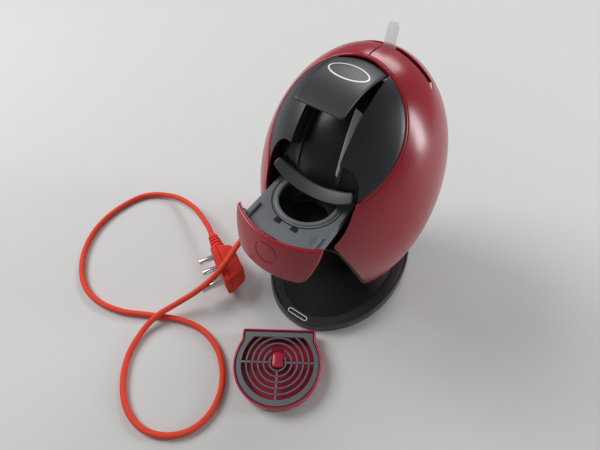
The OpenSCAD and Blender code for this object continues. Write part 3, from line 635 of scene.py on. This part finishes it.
class COFFEE_OT_front(Piece, bpy.types.Operator):
    """Builds the black panels, the recess between them, the dome and the grey lip"""

    bl_idname = "coffee.front"
    bl_label = "Front panels"

    def cheek(self, side, g):
        """A panel beside the recess: columns from the recess to the bead, rows upwards from a
        quarter of an ellipse at its foot to where the two edges meet."""
        wide = float(face_x(np.float64(226.5), -0.6, 2.6)) - 22.5
        foot, t = np.linspace(math.asin(0.6 / wide), np.pi / 2, 40), np.linspace(0, 1, 52)[:, None]
        low = 226.5 + 28 * np.cos(foot)
        f = np.clip((22.5 + wide * np.sin(foot) - 23.1) / (face_x(low, -0.6, 2.6) - 23.1), 0, 1)
        high = face_top(-0.6, 2.6, 23.3, 280, 4000)
        a, b = (np.arcsin((h - MID_Z) / (HALF_H - 0.6)) for h in (low, high))
        z = MID_Z + (HALF_H - 0.6) * np.sin(a + (b - a) * t)
        x = 23.1 + f * (face_x(z, -0.6, 2.6) - 23.1)
        z = z + (g + 0.6) * (z - MID_Z) / HALF_H
        return np.stack([x * side, egg_y(x, z, g), z], -1)

    def execute(self, context):
        s = context.scene.coffee_front
        black = finish("face_black", s.black)
        deep = -0.6 - 1000 * s.panel
        for side, node in ((-1, "cheek_left"), (1, "cheek_right")):
            panel(node + "_skin", self.cheek(side, -0.6), self.cheek(side, deep), "housing", black,
                  slot="face_black", replaces=[node])
            a = np.linspace(math.asin(107.8 / HALF_H), math.asin(147.6 / HALF_H), 60)[:, None]
            z = MID_Z + (HALF_H - 1.4) * np.sin(a)
            y = egg_y(23.6, z, -1.4)
            k = np.linspace(0, 1, 8) * 24
            wall = [np.stack([np.full((60, 8), side * x), y + 0.75 * k, z - 0.65 * k], -1)
                    for x in (22.9, 24.6)]
            panel(node + "_wall", *wall, "housing", finish("satin_black"), bulge=0.3, slot="satin_black")
        x = np.linspace(-46.5, 46.5, 70)
        b = np.radians(np.linspace(5.8, 105, 60))[:, None]
        side = np.clip((np.abs(x) - 22) / 20, 0, 1)
        side = side * side * (3 - 2 * side)
        dome = []
        for r in (DOME_R, DOME_R - 2.6):
            g = r - 75.5
            r = np.sqrt(r * r - x * x)
            y, z = DOME_Y - r * np.cos(b), DOME_Z + r * np.sin(b)
            wide = np.sqrt(np.clip(egg_r(z, g) ** 2 - x * x, 0, None)) * RATIO
            dome.append(np.stack([np.broadcast_to(x, y.shape), y + (MID_Y - wide - y) * side, z], -1))
        panel("dome_skin", *dome, "housing", finish("dome_black"), bulge=0.4, slot="face_black",
              replaces=["brew_dome"])
        line = hull_line([(67.6, 68.6, .6), (67.6, 70.3, .6), (73.7, 78.2, .7), (75.3, 77.5, .6),
                          (75.4, 74.3, .6), (69.8, 68.6, .6)], 64)
        t = np.radians(32.8 * np.sin(np.linspace(-np.pi / 2, np.pi / 2, 90)))[:, None]
        end = np.abs(t / t.max()) ** 3
        size = np.sqrt(np.clip(1 - np.abs(t / t.max()) ** 90, 0.3, 1))
        middle = line.mean(0)
        r, d = (middle[k] + (line[:, k] - middle[k]) * size for k in (0, 1))
        r, d = 67.6 + (r - 67.6) * (1 - 0.22 * end), 68.6 + (d - 68.6) * (1 - 0.4 * end)
        loft("lip_skin", np.stack([r * np.sin(t), -d, LIP_Z - r * np.cos(t)], -1), "housing",
             finish("lip_grey"), slot="lip_grey", replaces=["front_lip"])
        # A light grey strip, tapering downwards, inside the recess's right edge only: a painted highlight
        # where the right panel's inner edge catches the light.
        y = np.linspace(-72, -38, 40)[:, None]
        x = 22.4 - (1.2 + 6.3 * (y + 72) / 34) * np.linspace(1, 0, 8)
        strip = [np.stack([x, np.broadcast_to(y, x.shape), egg_z(x, y, h)], -1) for h in (-4.2, -5.4)]
        panel("painted_highlight_strip", *strip, "housing", finish("painted_highlight_strip"), bulge=0.3, slot="satin_grey")
        for k, name in ((-1, "guide_left"), (1, "guide_right")):
            x = k * np.linspace(18.7, 22.0, 8)
            b = np.radians(np.linspace(12, 78, 60))[:, None]
            guide = []
            for grow in (1.4, -3.0):
                r = np.sqrt(DOME_R ** 2 - x * x) + grow
                y, z = DOME_Y - r * np.cos(b), DOME_Z + r * np.sin(b)
                guide.append(np.stack([np.broadcast_to(x, (60, 8)), y, z], -1))
            panel(name, *guide, "housing", finish("satin_black"), bulge=0.3, slot="satin_grey",
                  replaces=["latch_guides"] if k > 0 else ())
        dress("hinge_pin", "zinc_steel", 0)
        return {"FINISHED"}


class COFFEE_OT_handle(Piece, bpy.types.Operator):
    """Builds the handle's flap with its knuckle and the plain oval printed on it"""

    bl_idname = "coffee.handle"
    bl_label = "Handle"

    def execute(self, context):
        s = context.scene.coffee_front
        thick = 1000 * s.flap
        v = np.linspace(0, 1, 70)[:, None]
        f = np.linspace(-1, 1, 44)
        front, rear = -64.0, -2.9 - 3.6 * (f * 20.5 / 19.5) ** 2
        y = front + (rear - front) * v
        corner = 1.4
        near = np.clip(corner - (y - front), 0, corner)
        half = 20.5 - corner + np.sqrt(np.clip(corner ** 2 - near ** 2, 0, None))
        x = f * half

        def top(x, y, g):
            """Height of the flap: level across at its front, on the egg at its rear."""
            level = np.clip((y - front) / (rear.max() - front), 0, 1) ** 2
            straight = (egg_z(0 * x, y, g) + egg_z(0 * x + 20.5, y, g)) / 2
            lift = 3.6 * (1 - np.sqrt(level)) ** 2
            return straight + (egg_z(x, y, g) - straight) * level + lift

        thin = 1.2 + (thick - 1.2) * (1 - (1 - v) ** 3)
        flap = [on_handle(np.stack([x, y, top(x, y, -0.6) - down], -1)) for down in (0 * v, thin * 1.15)]
        panel("flap_skin", *flap, "locking_handle", finish("flap_black"), bulge=0.5,
              slot="flap_black", replaces=["handle_flap"])
        rings = lathe([(2.4, -19.4), (2.9, -19.0), (3, -18.4), (3, 18.4), (2.9, 19.0), (2.4, 19.4)], 40)
        knuckle = on_handle(swap(rings, (2, 0, 1)) + (0, HINGE_Y, HINGE_Z))
        x, y = np.meshgrid(np.linspace(-19, 19, 30), np.linspace(-9.7, -5.3, 6))
        web = [on_handle(np.stack([x, y, h], -1)) for h in (egg_z(x, y, -1.7), np.full(x.shape, 293.0))]
        loft("flap_knuckle", knuckle, "locking_handle", finish("flap_black"), slot="flap_black")
        panel("flap_web", *web, "locking_handle", finish("flap_black"), bulge=0.2, slot="flap_black")
        a = np.linspace(0, 2 * np.pi, 120, endpoint=False)
        w = 1000 * s.print_width
        ring = []
        for inset, g in ((w, -0.58), (w, -0.4), (0, -0.4), (0, -0.58)):
            x, y = (17.5 - inset) * np.cos(a), -29 + (9.5 - inset) * np.sin(a)
            ring.append(np.stack([x, y, top(x, y, g)], -1))
        loft("flap_oval", on_handle(np.stack(ring, 1)), "locking_handle", finish("badge_print"),
             ends=False, slot="badge_print", replaces=["handle_badge"])
        return {"FINISHED"}


class COFFEE_OT_drawer(Piece, bpy.types.Operator):
    """Builds the pod drawer: its curved front with an engraved ring, its plate, cup and rails"""

    bl_idname = "coffee.drawer"
    bl_label = "Pod drawer"

    def execute(self, context):
        s = context.scene.coffee_drawer
        red = finish("body_red", context.scene.coffee_body.red)
        grey = finish("satin_grey", s.grey)
        z = np.linspace(174.6, 213.9, 96)[:, None]
        f = np.linspace(-1, 1, 190)
        low = 174.6 + 6 * (1 - np.sqrt(np.clip(1 - np.clip((np.abs(f) - 0.86) / 0.14, 0, 1) ** 2, 0, None)))
        z = low + (213.9 - low) * (z - 174.6) / (213.9 - 174.6)
        x = f * (front_half(z) - 0.6)
        cut = 1000 * s.groove * np.exp(-((np.hypot(x, z - 198.7) - 10.5) / 0.5) ** 2)
        front = [on_drawer(np.stack([x, egg_y(x, z, g), z], -1)) for g in (-cut, -3.0)]
        panel("drawer_front_skin", *front, "pod_drawer", red, bulge=0.6, slot="body_red",
              replaces=["drawer_front"])
        corners = np.degrees(np.arctan2([49.4, -49.4, 34.6, -49.4], [36.5, 36.5, -36.5, -36.5])) % 360
        t = np.radians(np.sort(np.concatenate([np.linspace(0, 360, 240, endpoint=False), corners])))
        edge = np.minimum(36.5 / np.maximum(np.abs(np.cos(t)), 1e-6),
                          np.where(np.sin(t) > 0, 34.6, 49.4) / np.maximum(np.abs(np.sin(t)), 1e-6))
        front_arc = np.clip((np.cos(t + np.pi / 2) - math.cos(math.radians(100))) * 6, 0, 1)
        full = np.ones(len(t))
        stations = [(25.3 * full, -3), (25.3 * full, 0.4), (25.7 * full, 0.9), (26.3 * full, 1.1),
                    (28.2 * full, 1.1), (28.8 * full, 0.8), (29.1 * full, 0), (30.9 * full, 0),
                    (31.1 * full, -0.8 * front_arc), (31.9 * full, -0.8 * front_arc), (32.1 * full, 0),
                    (33.6 * full, 0), (edge - 0.6, 0), (edge - 0.18, -0.16), (edge, -0.6),
                    (edge, 0.5 - 1000 * s.plate), (edge - 0.5, -1000 * s.plate)]
        rings = [np.stack([r * np.cos(t), POD_Y + r * np.sin(t), PLATE_Z + h * full], -1)
                 for r, h in stations]
        loft("plate_skin", on_drawer(rings), "pod_drawer", grey, ends=False, slot="satin_grey",
             replaces=["pod_plate"], sharp=35)
        cup = lathe([(18, 180.3), (18.3, 180), (26.8, 180), (27.3, 180.6), (27.3, 203.2), (25.3, 203.2),
                     (25.3, 182.6), (24.7, 182), (18.3, 182), (18, 181.7)], 96) + (0, POD_Y, 0)
        lofts("plate_cup", [(on_drawer(cup), False)], "pod_drawer", finish("satin_black"), slot="satin_black")
        bars = [bar(k * 31.8 - 1.5, k * 31.8 + 1.5, -82.5, -63.8, 205.5, 208.5, 0.6) for k in (-1, 1)]
        bars += [bar(k * 35.5 - 0.9, k * 35.5 + 0.9, -83.8, -4.2, 195.2, 203.5, 0.4) for k in (-1, 1)]
        lofts("plate_rails", [(on_drawer(b), True) for b in bars], "pod_drawer", grey, slot="satin_grey")
        # A near-black band that fills the engraved groove in the plate, a little proud of its surface, and
        # two near-black pads at its notches: painted shade in these recesses.
        groove = ring_band((0, POD_Y), lambda t: 31.1 + 0 * t, lambda t: 31.9 + 0 * t, 205.3, 206.04, .02,
                           170, 370, 160)
        loft("groove_painted_shade", on_drawer(groove), "pod_drawer", finish("painted_recess_shade"), slot="satin_grey")
        bars = [bar(k * 8.4 - 3.5, k * 8.4 + 3.5, -72.3, -67.3, 205.5, 206.06, 0.02, 0.8) for k in (-1, 1)]
        lofts("notches_painted_shade", [(on_drawer(b), True) for b in bars], "pod_drawer", finish("painted_recess_shade"),
              slot="satin_grey")
        dress("drawer_clip", "needle_steel", 0.2)
        return {"FINISHED"}


class COFFEE_OT_base(Piece, bpy.types.Operator):
    """Builds the oval base with its dish, its outlet block and the blank pill on its front"""

    bl_idname = "coffee.base"
    bl_label = "Base"

    def execute(self, context):
        s = context.scene.coffee_base
        h, f = 1000 * s.height, 1000 * s.dish
        black = finish("base_black", s.black)
        profile = [(-20, 1.5), (-1.0, 1.5), (-.3, 1.8), (0, 2.6), (0, h - 1.4), (-.25, h - .5),
                   (-.8, h - .05), (-1.4, h), (-2.1, h - .2), (-2.6, h - .8), (-2.9, h - 3),
                   (-3.1, h - 5.2), (-3.6, 8.9), (-15.2, 6.5), (-16.2, f - .4), (-50, f - .4)]
        loft("base_rim", stack(lambda g: ellipse_line(BASE_A, BASE_B, g), profile), "housing", black,
             slot="base_black", replaces=["base_plate"])
        profile = [(-50, f - .2), (-16.5, f - .2), (-15.5, 6.8), (-3.2, 9.0), (-3.2, 9.5), (-15.2, 7.2),
                   (-16.0, f + .3), (-17, f + .1), (-50, f + .1)]
        loft("base_dish", stack(lambda g: ellipse_line(BASE_A, BASE_B, g), profile), "housing",
             finish("base_dish"), slot="base_black")
        x, y = OUTLET[:2]
        loft("outlet_block", bar(x - 12, x + 12, y - 15, y + 1.2, 5.5, 14.2, 1.2, 3), "housing", black,
             slot="base_black")
        pill = []
        for r, up in ((2.3, 0), (2.3, .5), (3.2, .5), (3.2, 0)):
            p = hull_line([(-10, -98, r), (10, -98, r)], 72)
            inset = BASE_B - BASE_B * np.hypot(p[:, 0] / BASE_A, p[:, 1] / BASE_B)
            pill.append(np.column_stack([p, 9.5 - (inset - 3.2) * 0.192 + up]))
        loft("base_pill", np.stack(pill, 1), "housing", finish("badge_print"), ends=False,
             slot="badge_print", replaces=["base_badge"])
        for node, kind in (("rubber_feet", "rubber_black"), ("base_screws", "zinc_steel"),
                           ("base_weight", "zinc_steel")):
            dress(node, kind)
        return {"FINISHED"}


def d_ring(z, g, front):
    """Level section of the egg behind the plane y = front: an arc closed by a straight chord."""
    r = float(egg_r(np.float64(z), g))
    a = math.asin(min(1.0, (front - MID_Y) / (RATIO * r)))
    t = np.linspace(a, math.pi - a, 60)
    arc = np.column_stack([r * np.cos(t), MID_Y + RATIO * r * np.sin(t)])
    chord = arc[-1] + (arc[0] - arc[-1]) * np.linspace(0, 1, 16)[1:-1, None]
    return np.column_stack([np.concatenate([arc, chord]), np.full(74, z)])


def d_top(g, front):
    """Height at which the egg's level section just reaches the plane y = front."""
    z = np.linspace(200, 295, 4000)
    return z[MID_Y + RATIO * egg_r(z, g) > front].max()


class COFFEE_OT_tank(Piece, bpy.types.Operator):
    """Builds the smoked tank, its hinged lid, the housing under it, the button and the lever"""

    bl_idname = "coffee.tank"
    bl_label = "Tank and lever"

    def execute(self, context):
        s = context.scene.coffee_tank
        w, f = 1000 * s.wall, TANK_Y
        rings = [d_ring(z, g, y) for z, g, y in
                 [(77, -w - 3, f + w + 3), (77.3, -w - 1, f + w + 1), (78.5, -w, f + w)]
                 + [(z, -w, f + w) for z in np.linspace(84, 235, 30)]
                 + [(235.6, -w + .3, f + w - .3), (235.9, -w + 1, f + w - 1), (235.9, -1, f + 1),
                    (235.6, -.3, f + .3), (235, 0, f)]
                 + [(z, 0, f) for z in np.linspace(230, 80, 30)]
                 + [(75.5, 0, f), (74.3, -.6, f + .6), (74, -2, f + 2)]]
        loft("tank_skin", rings, "tank", finish("smoked_clear", s.smoke), slot="smoked_clear",
             replaces=["water_tank"])
        inner, outer = d_top(-w, f + w), d_top(0, f)
        rings = [d_ring(z, -w, f + w) for z in np.linspace(inner, 237, 26)]
        rim = [(236.5, -w + .5, f + w - .5), (236.4, -1, f + 1), (236.8, -.2, f + .2)]
        rings += [d_ring(z, g, y) for z, g, y in rim]
        rings += [d_ring(z, 0, f) for z in np.linspace(237.5, outer, 34)]
        loft("lid_skin", rings, "tank_cover", finish("body_red", context.scene.coffee_body.red),
             slot="body_red", replaces=["tank_lid"], sharp=40)
        levels = [(24.6, -.8), (25.2, 0)] + [(z, 0) for z in np.linspace(28, 70, 26)]
        rings = [d_ring(z, g, 58.4 - .2 * g) for z, g in levels + [(72.6, 0), (73.3, -.4), (73.5, -1.2)]]
        loft("rear_skin", rings, "housing", finish("satin_black"), slot="satin_black",
             replaces=["rear_foot"], sharp=40)
        profile = [(6, -13.8), (6, -1.0), (5.7, -.35), (5.1, 0), (4.4, -.1), (3.6, -.5), (1.5, -.8)]
        lofts("button_skin", [(swap(lathe(profile), (0, 2, 1)) + (22, 78.3, 60), True),
                              (swap(lathe([(7.5, -14.8), (7.5, -13.8)]), (0, 2, 1)) + (22, 78.3, 60), True)],
              "button", finish("button_silver"), slot="button_silver", replaces=["power_button"])
        profile = [(6.5, -2.5), (6.5, .35), (6.8, .7), (7.6, .7), (8, .3), (8, -2.5)]
        loft("button_bezel", swap(lathe(profile), (0, 2, 1)) + (22, 77.1, 60), "housing",
             finish("base_black"), ends=False, slot="satin_black")
        half = 500 * s.lever
        line = [(0, 69.7, 5.3), (-4.6, 17, .7), (4.6, 17, .7)]
        profile = [(-.7, -half), (-.2, .2 - half), (0, .7 - half), (0, half - .7), (-.2, half - .2),
                   (-.7, half)]
        rings = stack(lambda g: hull_line(line, 96, g), profile)
        lever = turn(swap(rings, (0, 2, 1)) + (0, LEVER_Y, LEVER_Z), LEVER_TURN, (0, LEVER_Y, LEVER_Z), "Y")
        loft("lever_skin", lever, "selector", finish("clear_acrylic"), slot="clear_acrylic",
             replaces=["selector_lever"])
        for node, kind in (("lever_hub", "satin_black"), ("tank_seat", "satin_black"),
                           ("tank_valve", "satin_black"), ("lid_pin", "zinc_steel"),
                           ("button_spring", "needle_steel")):
            dress(node, kind, 0.2)
        return {"FINISHED"}


def tray_line(g, n=220):
    """Outline of the tray, grown by g: a flat back with round corners, two hollow shoulders that
    are tangent to the sides and to the round front."""
    waist_x = TRAY_HALF + WAIST_R
    waist_y = TRAY_MID + math.sqrt((TRAY_R + WAIST_R) ** 2 - waist_x ** 2)
    off = math.atan2(waist_y - TRAY_MID, waist_x)
    c = max(2.5 + g, 0.5)
    a = np.linspace(np.pi / 2, 0, 10)
    corner = np.stack([TRAY_HALF + g - c + c * np.cos(a), g - c + c * np.sin(a)], 1)
    a = np.linspace(np.pi, np.pi + off, 14)
    r = WAIST_R - g
    waist = np.stack([waist_x + r * np.cos(a), waist_y + r * np.sin(a)], 1)
    a = np.linspace(off, -np.pi / 2, n // 2 - 24)[1:]
    front = np.stack([(TRAY_R + g) * np.cos(a), TRAY_MID + (TRAY_R + g) * np.sin(a)], 1)
    back = np.column_stack([np.linspace(0, TRAY_HALF + g - c, 12)[:-1], np.full(11, float(g))])
    half = np.concatenate([back, corner, waist, front])
    return np.concatenate([half, (half * (-1, 1))[-2:0:-1]])[::-1]


class COFFEE_OT_tray(Piece, bpy.types.Operator):
    """Builds the drip tray with its red bump, and the grid of rings and bars in it"""

    bl_idname = "coffee.tray"
    bl_label = "Drip tray"

    def execute(self, context):
        s = context.scene.coffee_tray
        rim, h = 1000 * s.rim, TRAY_HIGH
        profile = [(-4, 0), (-2.2, 0), (-1.5, .4), (-1.2, 1.2), (-1.1, 5), (-.7, 10), (-.1, 14.6),
                   (0, 15.2), (-.2, h - .3), (-.6, h), (-rim + .5, h), (-rim + .1, h - .3),
                   (-rim, h - .8), (-rim - .1, 3.2), (-rim - .8, 2.2), (-rim - 3, 2)]
        red = finish("tray_red", s.red)
        loft("tray_skin", on_tray(stack(tray_line, profile)), "tray", red,
             slot="tray_red", replaces=["tray_pan"])
        loft("tray_bump", on_tray(bar(-6.0, 6.0, -43.4, -26.6, 1.9, 14.2, 1.4, 3.2)), "tray", red,
             slot="tray_red")
        middle = (0, -38)
        line = tray_line(-2.9, 600) - middle
        angle = np.arctan2(line[:, 1], line[:, 0])

        def outside(t):
            order = np.argsort(angle)
            return np.interp((t + np.pi) % (2 * np.pi) - np.pi, angle[order],
                             np.hypot(*line.T)[order], period=2 * np.pi)

        def inside(t):
            return np.minimum(40.5, 29 / np.maximum(np.sin(t), 1e-3))

        w, low = 500 * s.bar, h - 5
        parts = [(ring_band(middle, inside, outside, low, low + 3.5, .5, n=260), False)]
        arcs = ((9.2, 140, 400), (15.6, 117.5, 422.5), (22, 0, 360), (28.4, 0, 360), (34.8, 124, 416))
        for r, a0, a1 in arcs:
            full = a1 - a0 >= 360
            parts.append((ring_band(middle, lambda t, r=r: r - w + 0 * t, lambda t, r=r: r + w + 0 * t,
                                    low, low + 3, .3, a0, a1, 140), not full))
        parts += [(bar(*b, low, low + 3, .3), True) for b in
                  ((-41.5, -7.3, -39, -37), (7.3, 41.5, -39, -37), (-1, 1, -79.5, -46.5))]
        lofts("grid_skin", [(on_tray(p), e) for p, e in parts], "grid", finish("grid_grey"),
              slot="grid_grey", replaces=["tray_grid"], sharp=35)
        return {"FINISHED"}


class COFFEE_OT_lead(Piece, bpy.types.Operator):
    """Builds the mains lead with its reliefs, and the plug with its three round pins"""

    bl_idname = "coffee.lead"
    bl_label = "Mains lead"

    def execute(self, context):
        s = context.scene.coffee_lead
        line = smooth_line(ROUTE, 6)
        curve = bpy.data.curves.new("mains_lead", "CURVE")
        curve.dimensions = "3D"
        curve.bevel_depth = s.diameter / 2
        curve.bevel_resolution = 4
        curve.use_fill_caps = True
        spline = curve.splines.new("POLY")
        spline.points.add(len(line) - 1)
        spline.points.foreach_set("co", np.column_stack([line * 0.001, np.ones(len(line))]).ravel())
        spline.use_smooth = True
        curve.materials.append(finish("cord_red", s.red))
        lead = bpy.data.objects.new("mains_lead", curve)
        context.scene.collection.objects.link(lead)
        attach(lead, "housing")
        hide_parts("mains_cord")
        profile = [(4.9, -6), (4.9, 0.8), (6.1, 1.0), (6.4, 1.4), (6.4, 2.6), (6.0, 3.0), (5.3, 3.2)]
        profile += [(r - .05 * k, 4.5 + 4.8 * k + d) for k in range(4) for r, d in
                    ((5.2, 0), (5.2, 2.6), (4.4, 2.9), (4.4, 4.4), (5.1, 4.7))]
        profile += [(4.7, 25), (4.3, 29.4), (3.9, 30), (3.4, 30)]
        x, y, z = OUTLET
        red = finish("plug_red")
        outlet = loft("outlet_relief", swap(lathe(profile), (0, 2, 1)) + (x, y, z), "housing",
                      red, slot="cord_red", replaces=["strain_relief"])
        wide = [(-11, 6, 3), (-11, -6, 3), (-5, 22.1, 3.2), (-5, -22.1, 3.2), (3, 22.1, 3.2), (3, -22.1, 3.2),
                (36.6, 12.6, 4.4), (36.6, -12.6, 4.4)]
        slim = [(-9, 3, 3), (-9, -3, 3), (-1, 14, 6), (-1, -14, 6), (2, 14, 6), (2, -14, 6), (30, 8.6, 6.4),
                (30, -8.6, 6.4)]
        levels = [(-2.2, 0, .02), (-.7, 0, .12), (-.2, 0, .45), (0, 0, 1.0), (0, 0, 5.8), (-.15, 0, 6.2),
                  (-1.3, 0, 6.5), (-1.3, 0, 7.3), (-.2, .04, 7.5), (0, .08, 8.0), (0, .3, 11.5), (0, .55, 15),
                  (-.1, .8, 18.6), (-.4, .95, 21), (-1.6, 1, 23.6), (-3.6, 1, 25.4), (-6.5, 1, 26.5),
                  (-10, 1, 26.9)]
        rings = []
        for g, k, v in levels:
            a, b = (hull_line(c, 144, g) for c in (wide, slim))
            p = a + (b - a) * k
            rings.append(np.column_stack([p[:, 0], np.full(len(p), v), p[:, 1]]))
        body = loft("plug_skin", on_plug(rings), "housing", red, slot="plug_red", replaces=["plug_body"])
        profile = [(8.4, -3), (9, 0), (9, 2.4), (8.5, 2.9)]
        profile += [(r - .62 * k, 3.4 + 5.1 * k + d) for k in range(4) for r, d in
                    ((6.9, 0), (6.9, 1.3), (8.3, 1.6), (8.05, 4.7))]
        profile += [(5.2, 24.2), (4.7, 27.4), (4.2, 28), (3.4, 28)]
        relief = swap(lathe(profile), (2, 0, 1)) * (-1, 1, 1) + (-14, PLUG_AXIS, 0)
        relief = loft("plug_sleeve", on_plug(relief), "housing", red, slot="plug_red",
                      replaces=["plug_relief"])
        parts = []
        thin, thick = 500 * s.pin, 500 * s.earth
        for u, w, r, long in ((0, 12.7, thin, 19), (0, -12.7, thin, 19), (28.6, 0, thick, 28.6)):
            profile = [(r, 0), (r, long - 1.4), (r - .35, long - .6), (r - 1.0, long - .12),
                       (r - 1.8, long)]
            pin = lathe(profile, 40)
            parts.append((on_plug(swap(pin, (0, 2, 1)) * (1, -1, 1) + (u, 0, w)), True))
        pins = lofts("plug_prongs", parts, "housing", finish("pin_nickel"), slot="pin_nickel",
                     replaces=["plug_pins"])
        return {"FINISHED"}


class COFFEE_OT_inside(Piece, bpy.types.Operator):
    """Gives the parts inside the machine their materials and rounded edges"""

    bl_idname = "coffee.inside"
    bl_label = "Inside"

    def execute(self, context):
        for node, kind in (
                ("chassis", "frame_grey"), ("needle_carrier", "frame_grey"), ("pod_needle", "needle_steel"),
                ("selector_valve", "frame_grey"), ("heater_block", "cast_aluminium"),
                ("heater_tubes", "copper_tube"), ("pump", "pump_brass"), ("pump_mounts", "rubber_black"),
                ("flow_meter", "natural_nylon"), ("water_hoses", "silicone_hose"),
                ("circuit_board", "board_green")):
            dress(node, kind)
        return {"FINISHED"}


class COFFEE_OT_stage(Piece, bpy.types.Operator):
    """Builds the floor, the soft lights and the camera"""

    bl_idname = "coffee.stage"
    bl_label = "Stage"

    def execute(self, context):
        s = context.scene.coffee_stage
        scene = context.scene
        mesh = bpy.data.meshes.new("floor")
        n = 12
        x, y = np.meshgrid(np.linspace(-6, 6, n), np.linspace(-6, 6, n))
        mesh.from_pydata(np.stack([x, y, np.full(x.shape, -0.0004)], -1).reshape(-1, 3).tolist(), [],
                         grid_quads(n, n)[:, ::-1].tolist())
        mesh.materials.append(finish_of("floor", tuple(s.floor), rough=.75, shade=.01, grain=60,
                                        bump=.0, vary=.05, specular=.2))
        floor = bpy.data.objects.new("floor", mesh)
        scene.collection.objects.link(floor)
        world = bpy.data.worlds.new("studio")
        world.use_nodes = True
        sky = world.node_tree.nodes["Background"]
        sky.inputs["Color"].default_value = (0.93, 0.95, 1.0, 1)
        sky.inputs["Strength"].default_value = 0.26
        scene.world = world
        for name, place, size, power in (
                ("window_left", (-1.35, -0.35, 1.35), (0.9, 1.1), 24),
                ("window_right", (1.20, 0.72, 0.42), (0.28, 0.75), 9),
                ("window_rear", (-0.2, 1.45, 1.25), (1.2, 0.5), 13)):
            light = bpy.data.lights.new(name, "AREA")
            light.shape, light.energy = "RECTANGLE", power
            light.size, light.size_y = size
            made = bpy.data.objects.new(name, light)
            back = Vector(place) - Vector((0, -0.05, 0.12))
            made.location = place
            made.rotation_euler = back.to_track_quat("Z", "Y").to_euler()
            scene.collection.objects.link(made)
        camera = bpy.data.cameras.new("camera")
        camera.lens, camera.sensor_width = 1000 * s.lens, 36
        made = bpy.data.objects.new("camera", camera)
        made.matrix_world = Matrix((
            (0.82021, -0.46066, 0.33914, 0.1373), (0.57198, 0.66554, -0.47952, -0.2855),
            (-0.00487, 0.58732, 0.80938, 0.5101), (0, 0, 0, 1)))
        scene.collection.objects.link(made)
        scene.camera = made
        scene.view_settings.view_transform = "Standard"
        return {"FINISHED"}


class COFFEE_PT_machine(bpy.types.Panel):
    """The buttons that build each group of pieces, with their settings"""

    bl_label = "Coffee machine"
    bl_idname = "COFFEE_PT_machine"
    bl_space_type = "VIEW_3D"
    bl_region_type = "UI"
    bl_category = "Coffee machine"

    def draw(self, context):
        for operator, settings in STEPS:
            box = self.layout.box()
            box.operator(operator.bl_idname)
            group = getattr(context.scene, settings, None) if settings else None
            for key in (group.__annotations__ if group else ()):
                box.prop(group, key)


STEPS = [(COFFEE_OT_stage, "coffee_stage"), (COFFEE_OT_lead, "coffee_lead"),
         (COFFEE_OT_shells, "coffee_body"), (COFFEE_OT_front, "coffee_front"),
         (COFFEE_OT_handle, None), (COFFEE_OT_drawer, "coffee_drawer"),
         (COFFEE_OT_base, "coffee_base"), (COFFEE_OT_tank, "coffee_tank"),
         (COFFEE_OT_tray, "coffee_tray"), (COFFEE_OT_inside, None)]
GROUPS = {"coffee_body": BodySettings, "coffee_front": FrontSettings, "coffee_drawer": DrawerSettings,
          "coffee_base": BaseSettings, "coffee_tank": TankSettings, "coffee_tray": TraySettings,
          "coffee_lead": LeadSettings, "coffee_stage": StageSettings}


def register():
    for kind in (*GROUPS.values(), *(operator for operator, _ in STEPS), COFFEE_PT_machine):
        bpy.utils.register_class(kind)
    for name, kind in GROUPS.items():
        setattr(bpy.types.Scene, name, PointerProperty(type=kind))


def unregister():
    for name in GROUPS:
        delattr(bpy.types.Scene, name)
    for kind in (COFFEE_PT_machine, *(operator for operator, _ in STEPS), *GROUPS.values()):
        bpy.utils.unregister_class(kind)


def main():
    """Builds everything in order."""
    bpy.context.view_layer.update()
    register()
    for operator, _ in STEPS:
        group, name = operator.bl_idname.split(".")
        if getattr(getattr(bpy.ops, group), name)() != {"FINISHED"}:
            raise RuntimeError(f"{operator.bl_label} was not built")


if __name__ == "__main__":
    main()
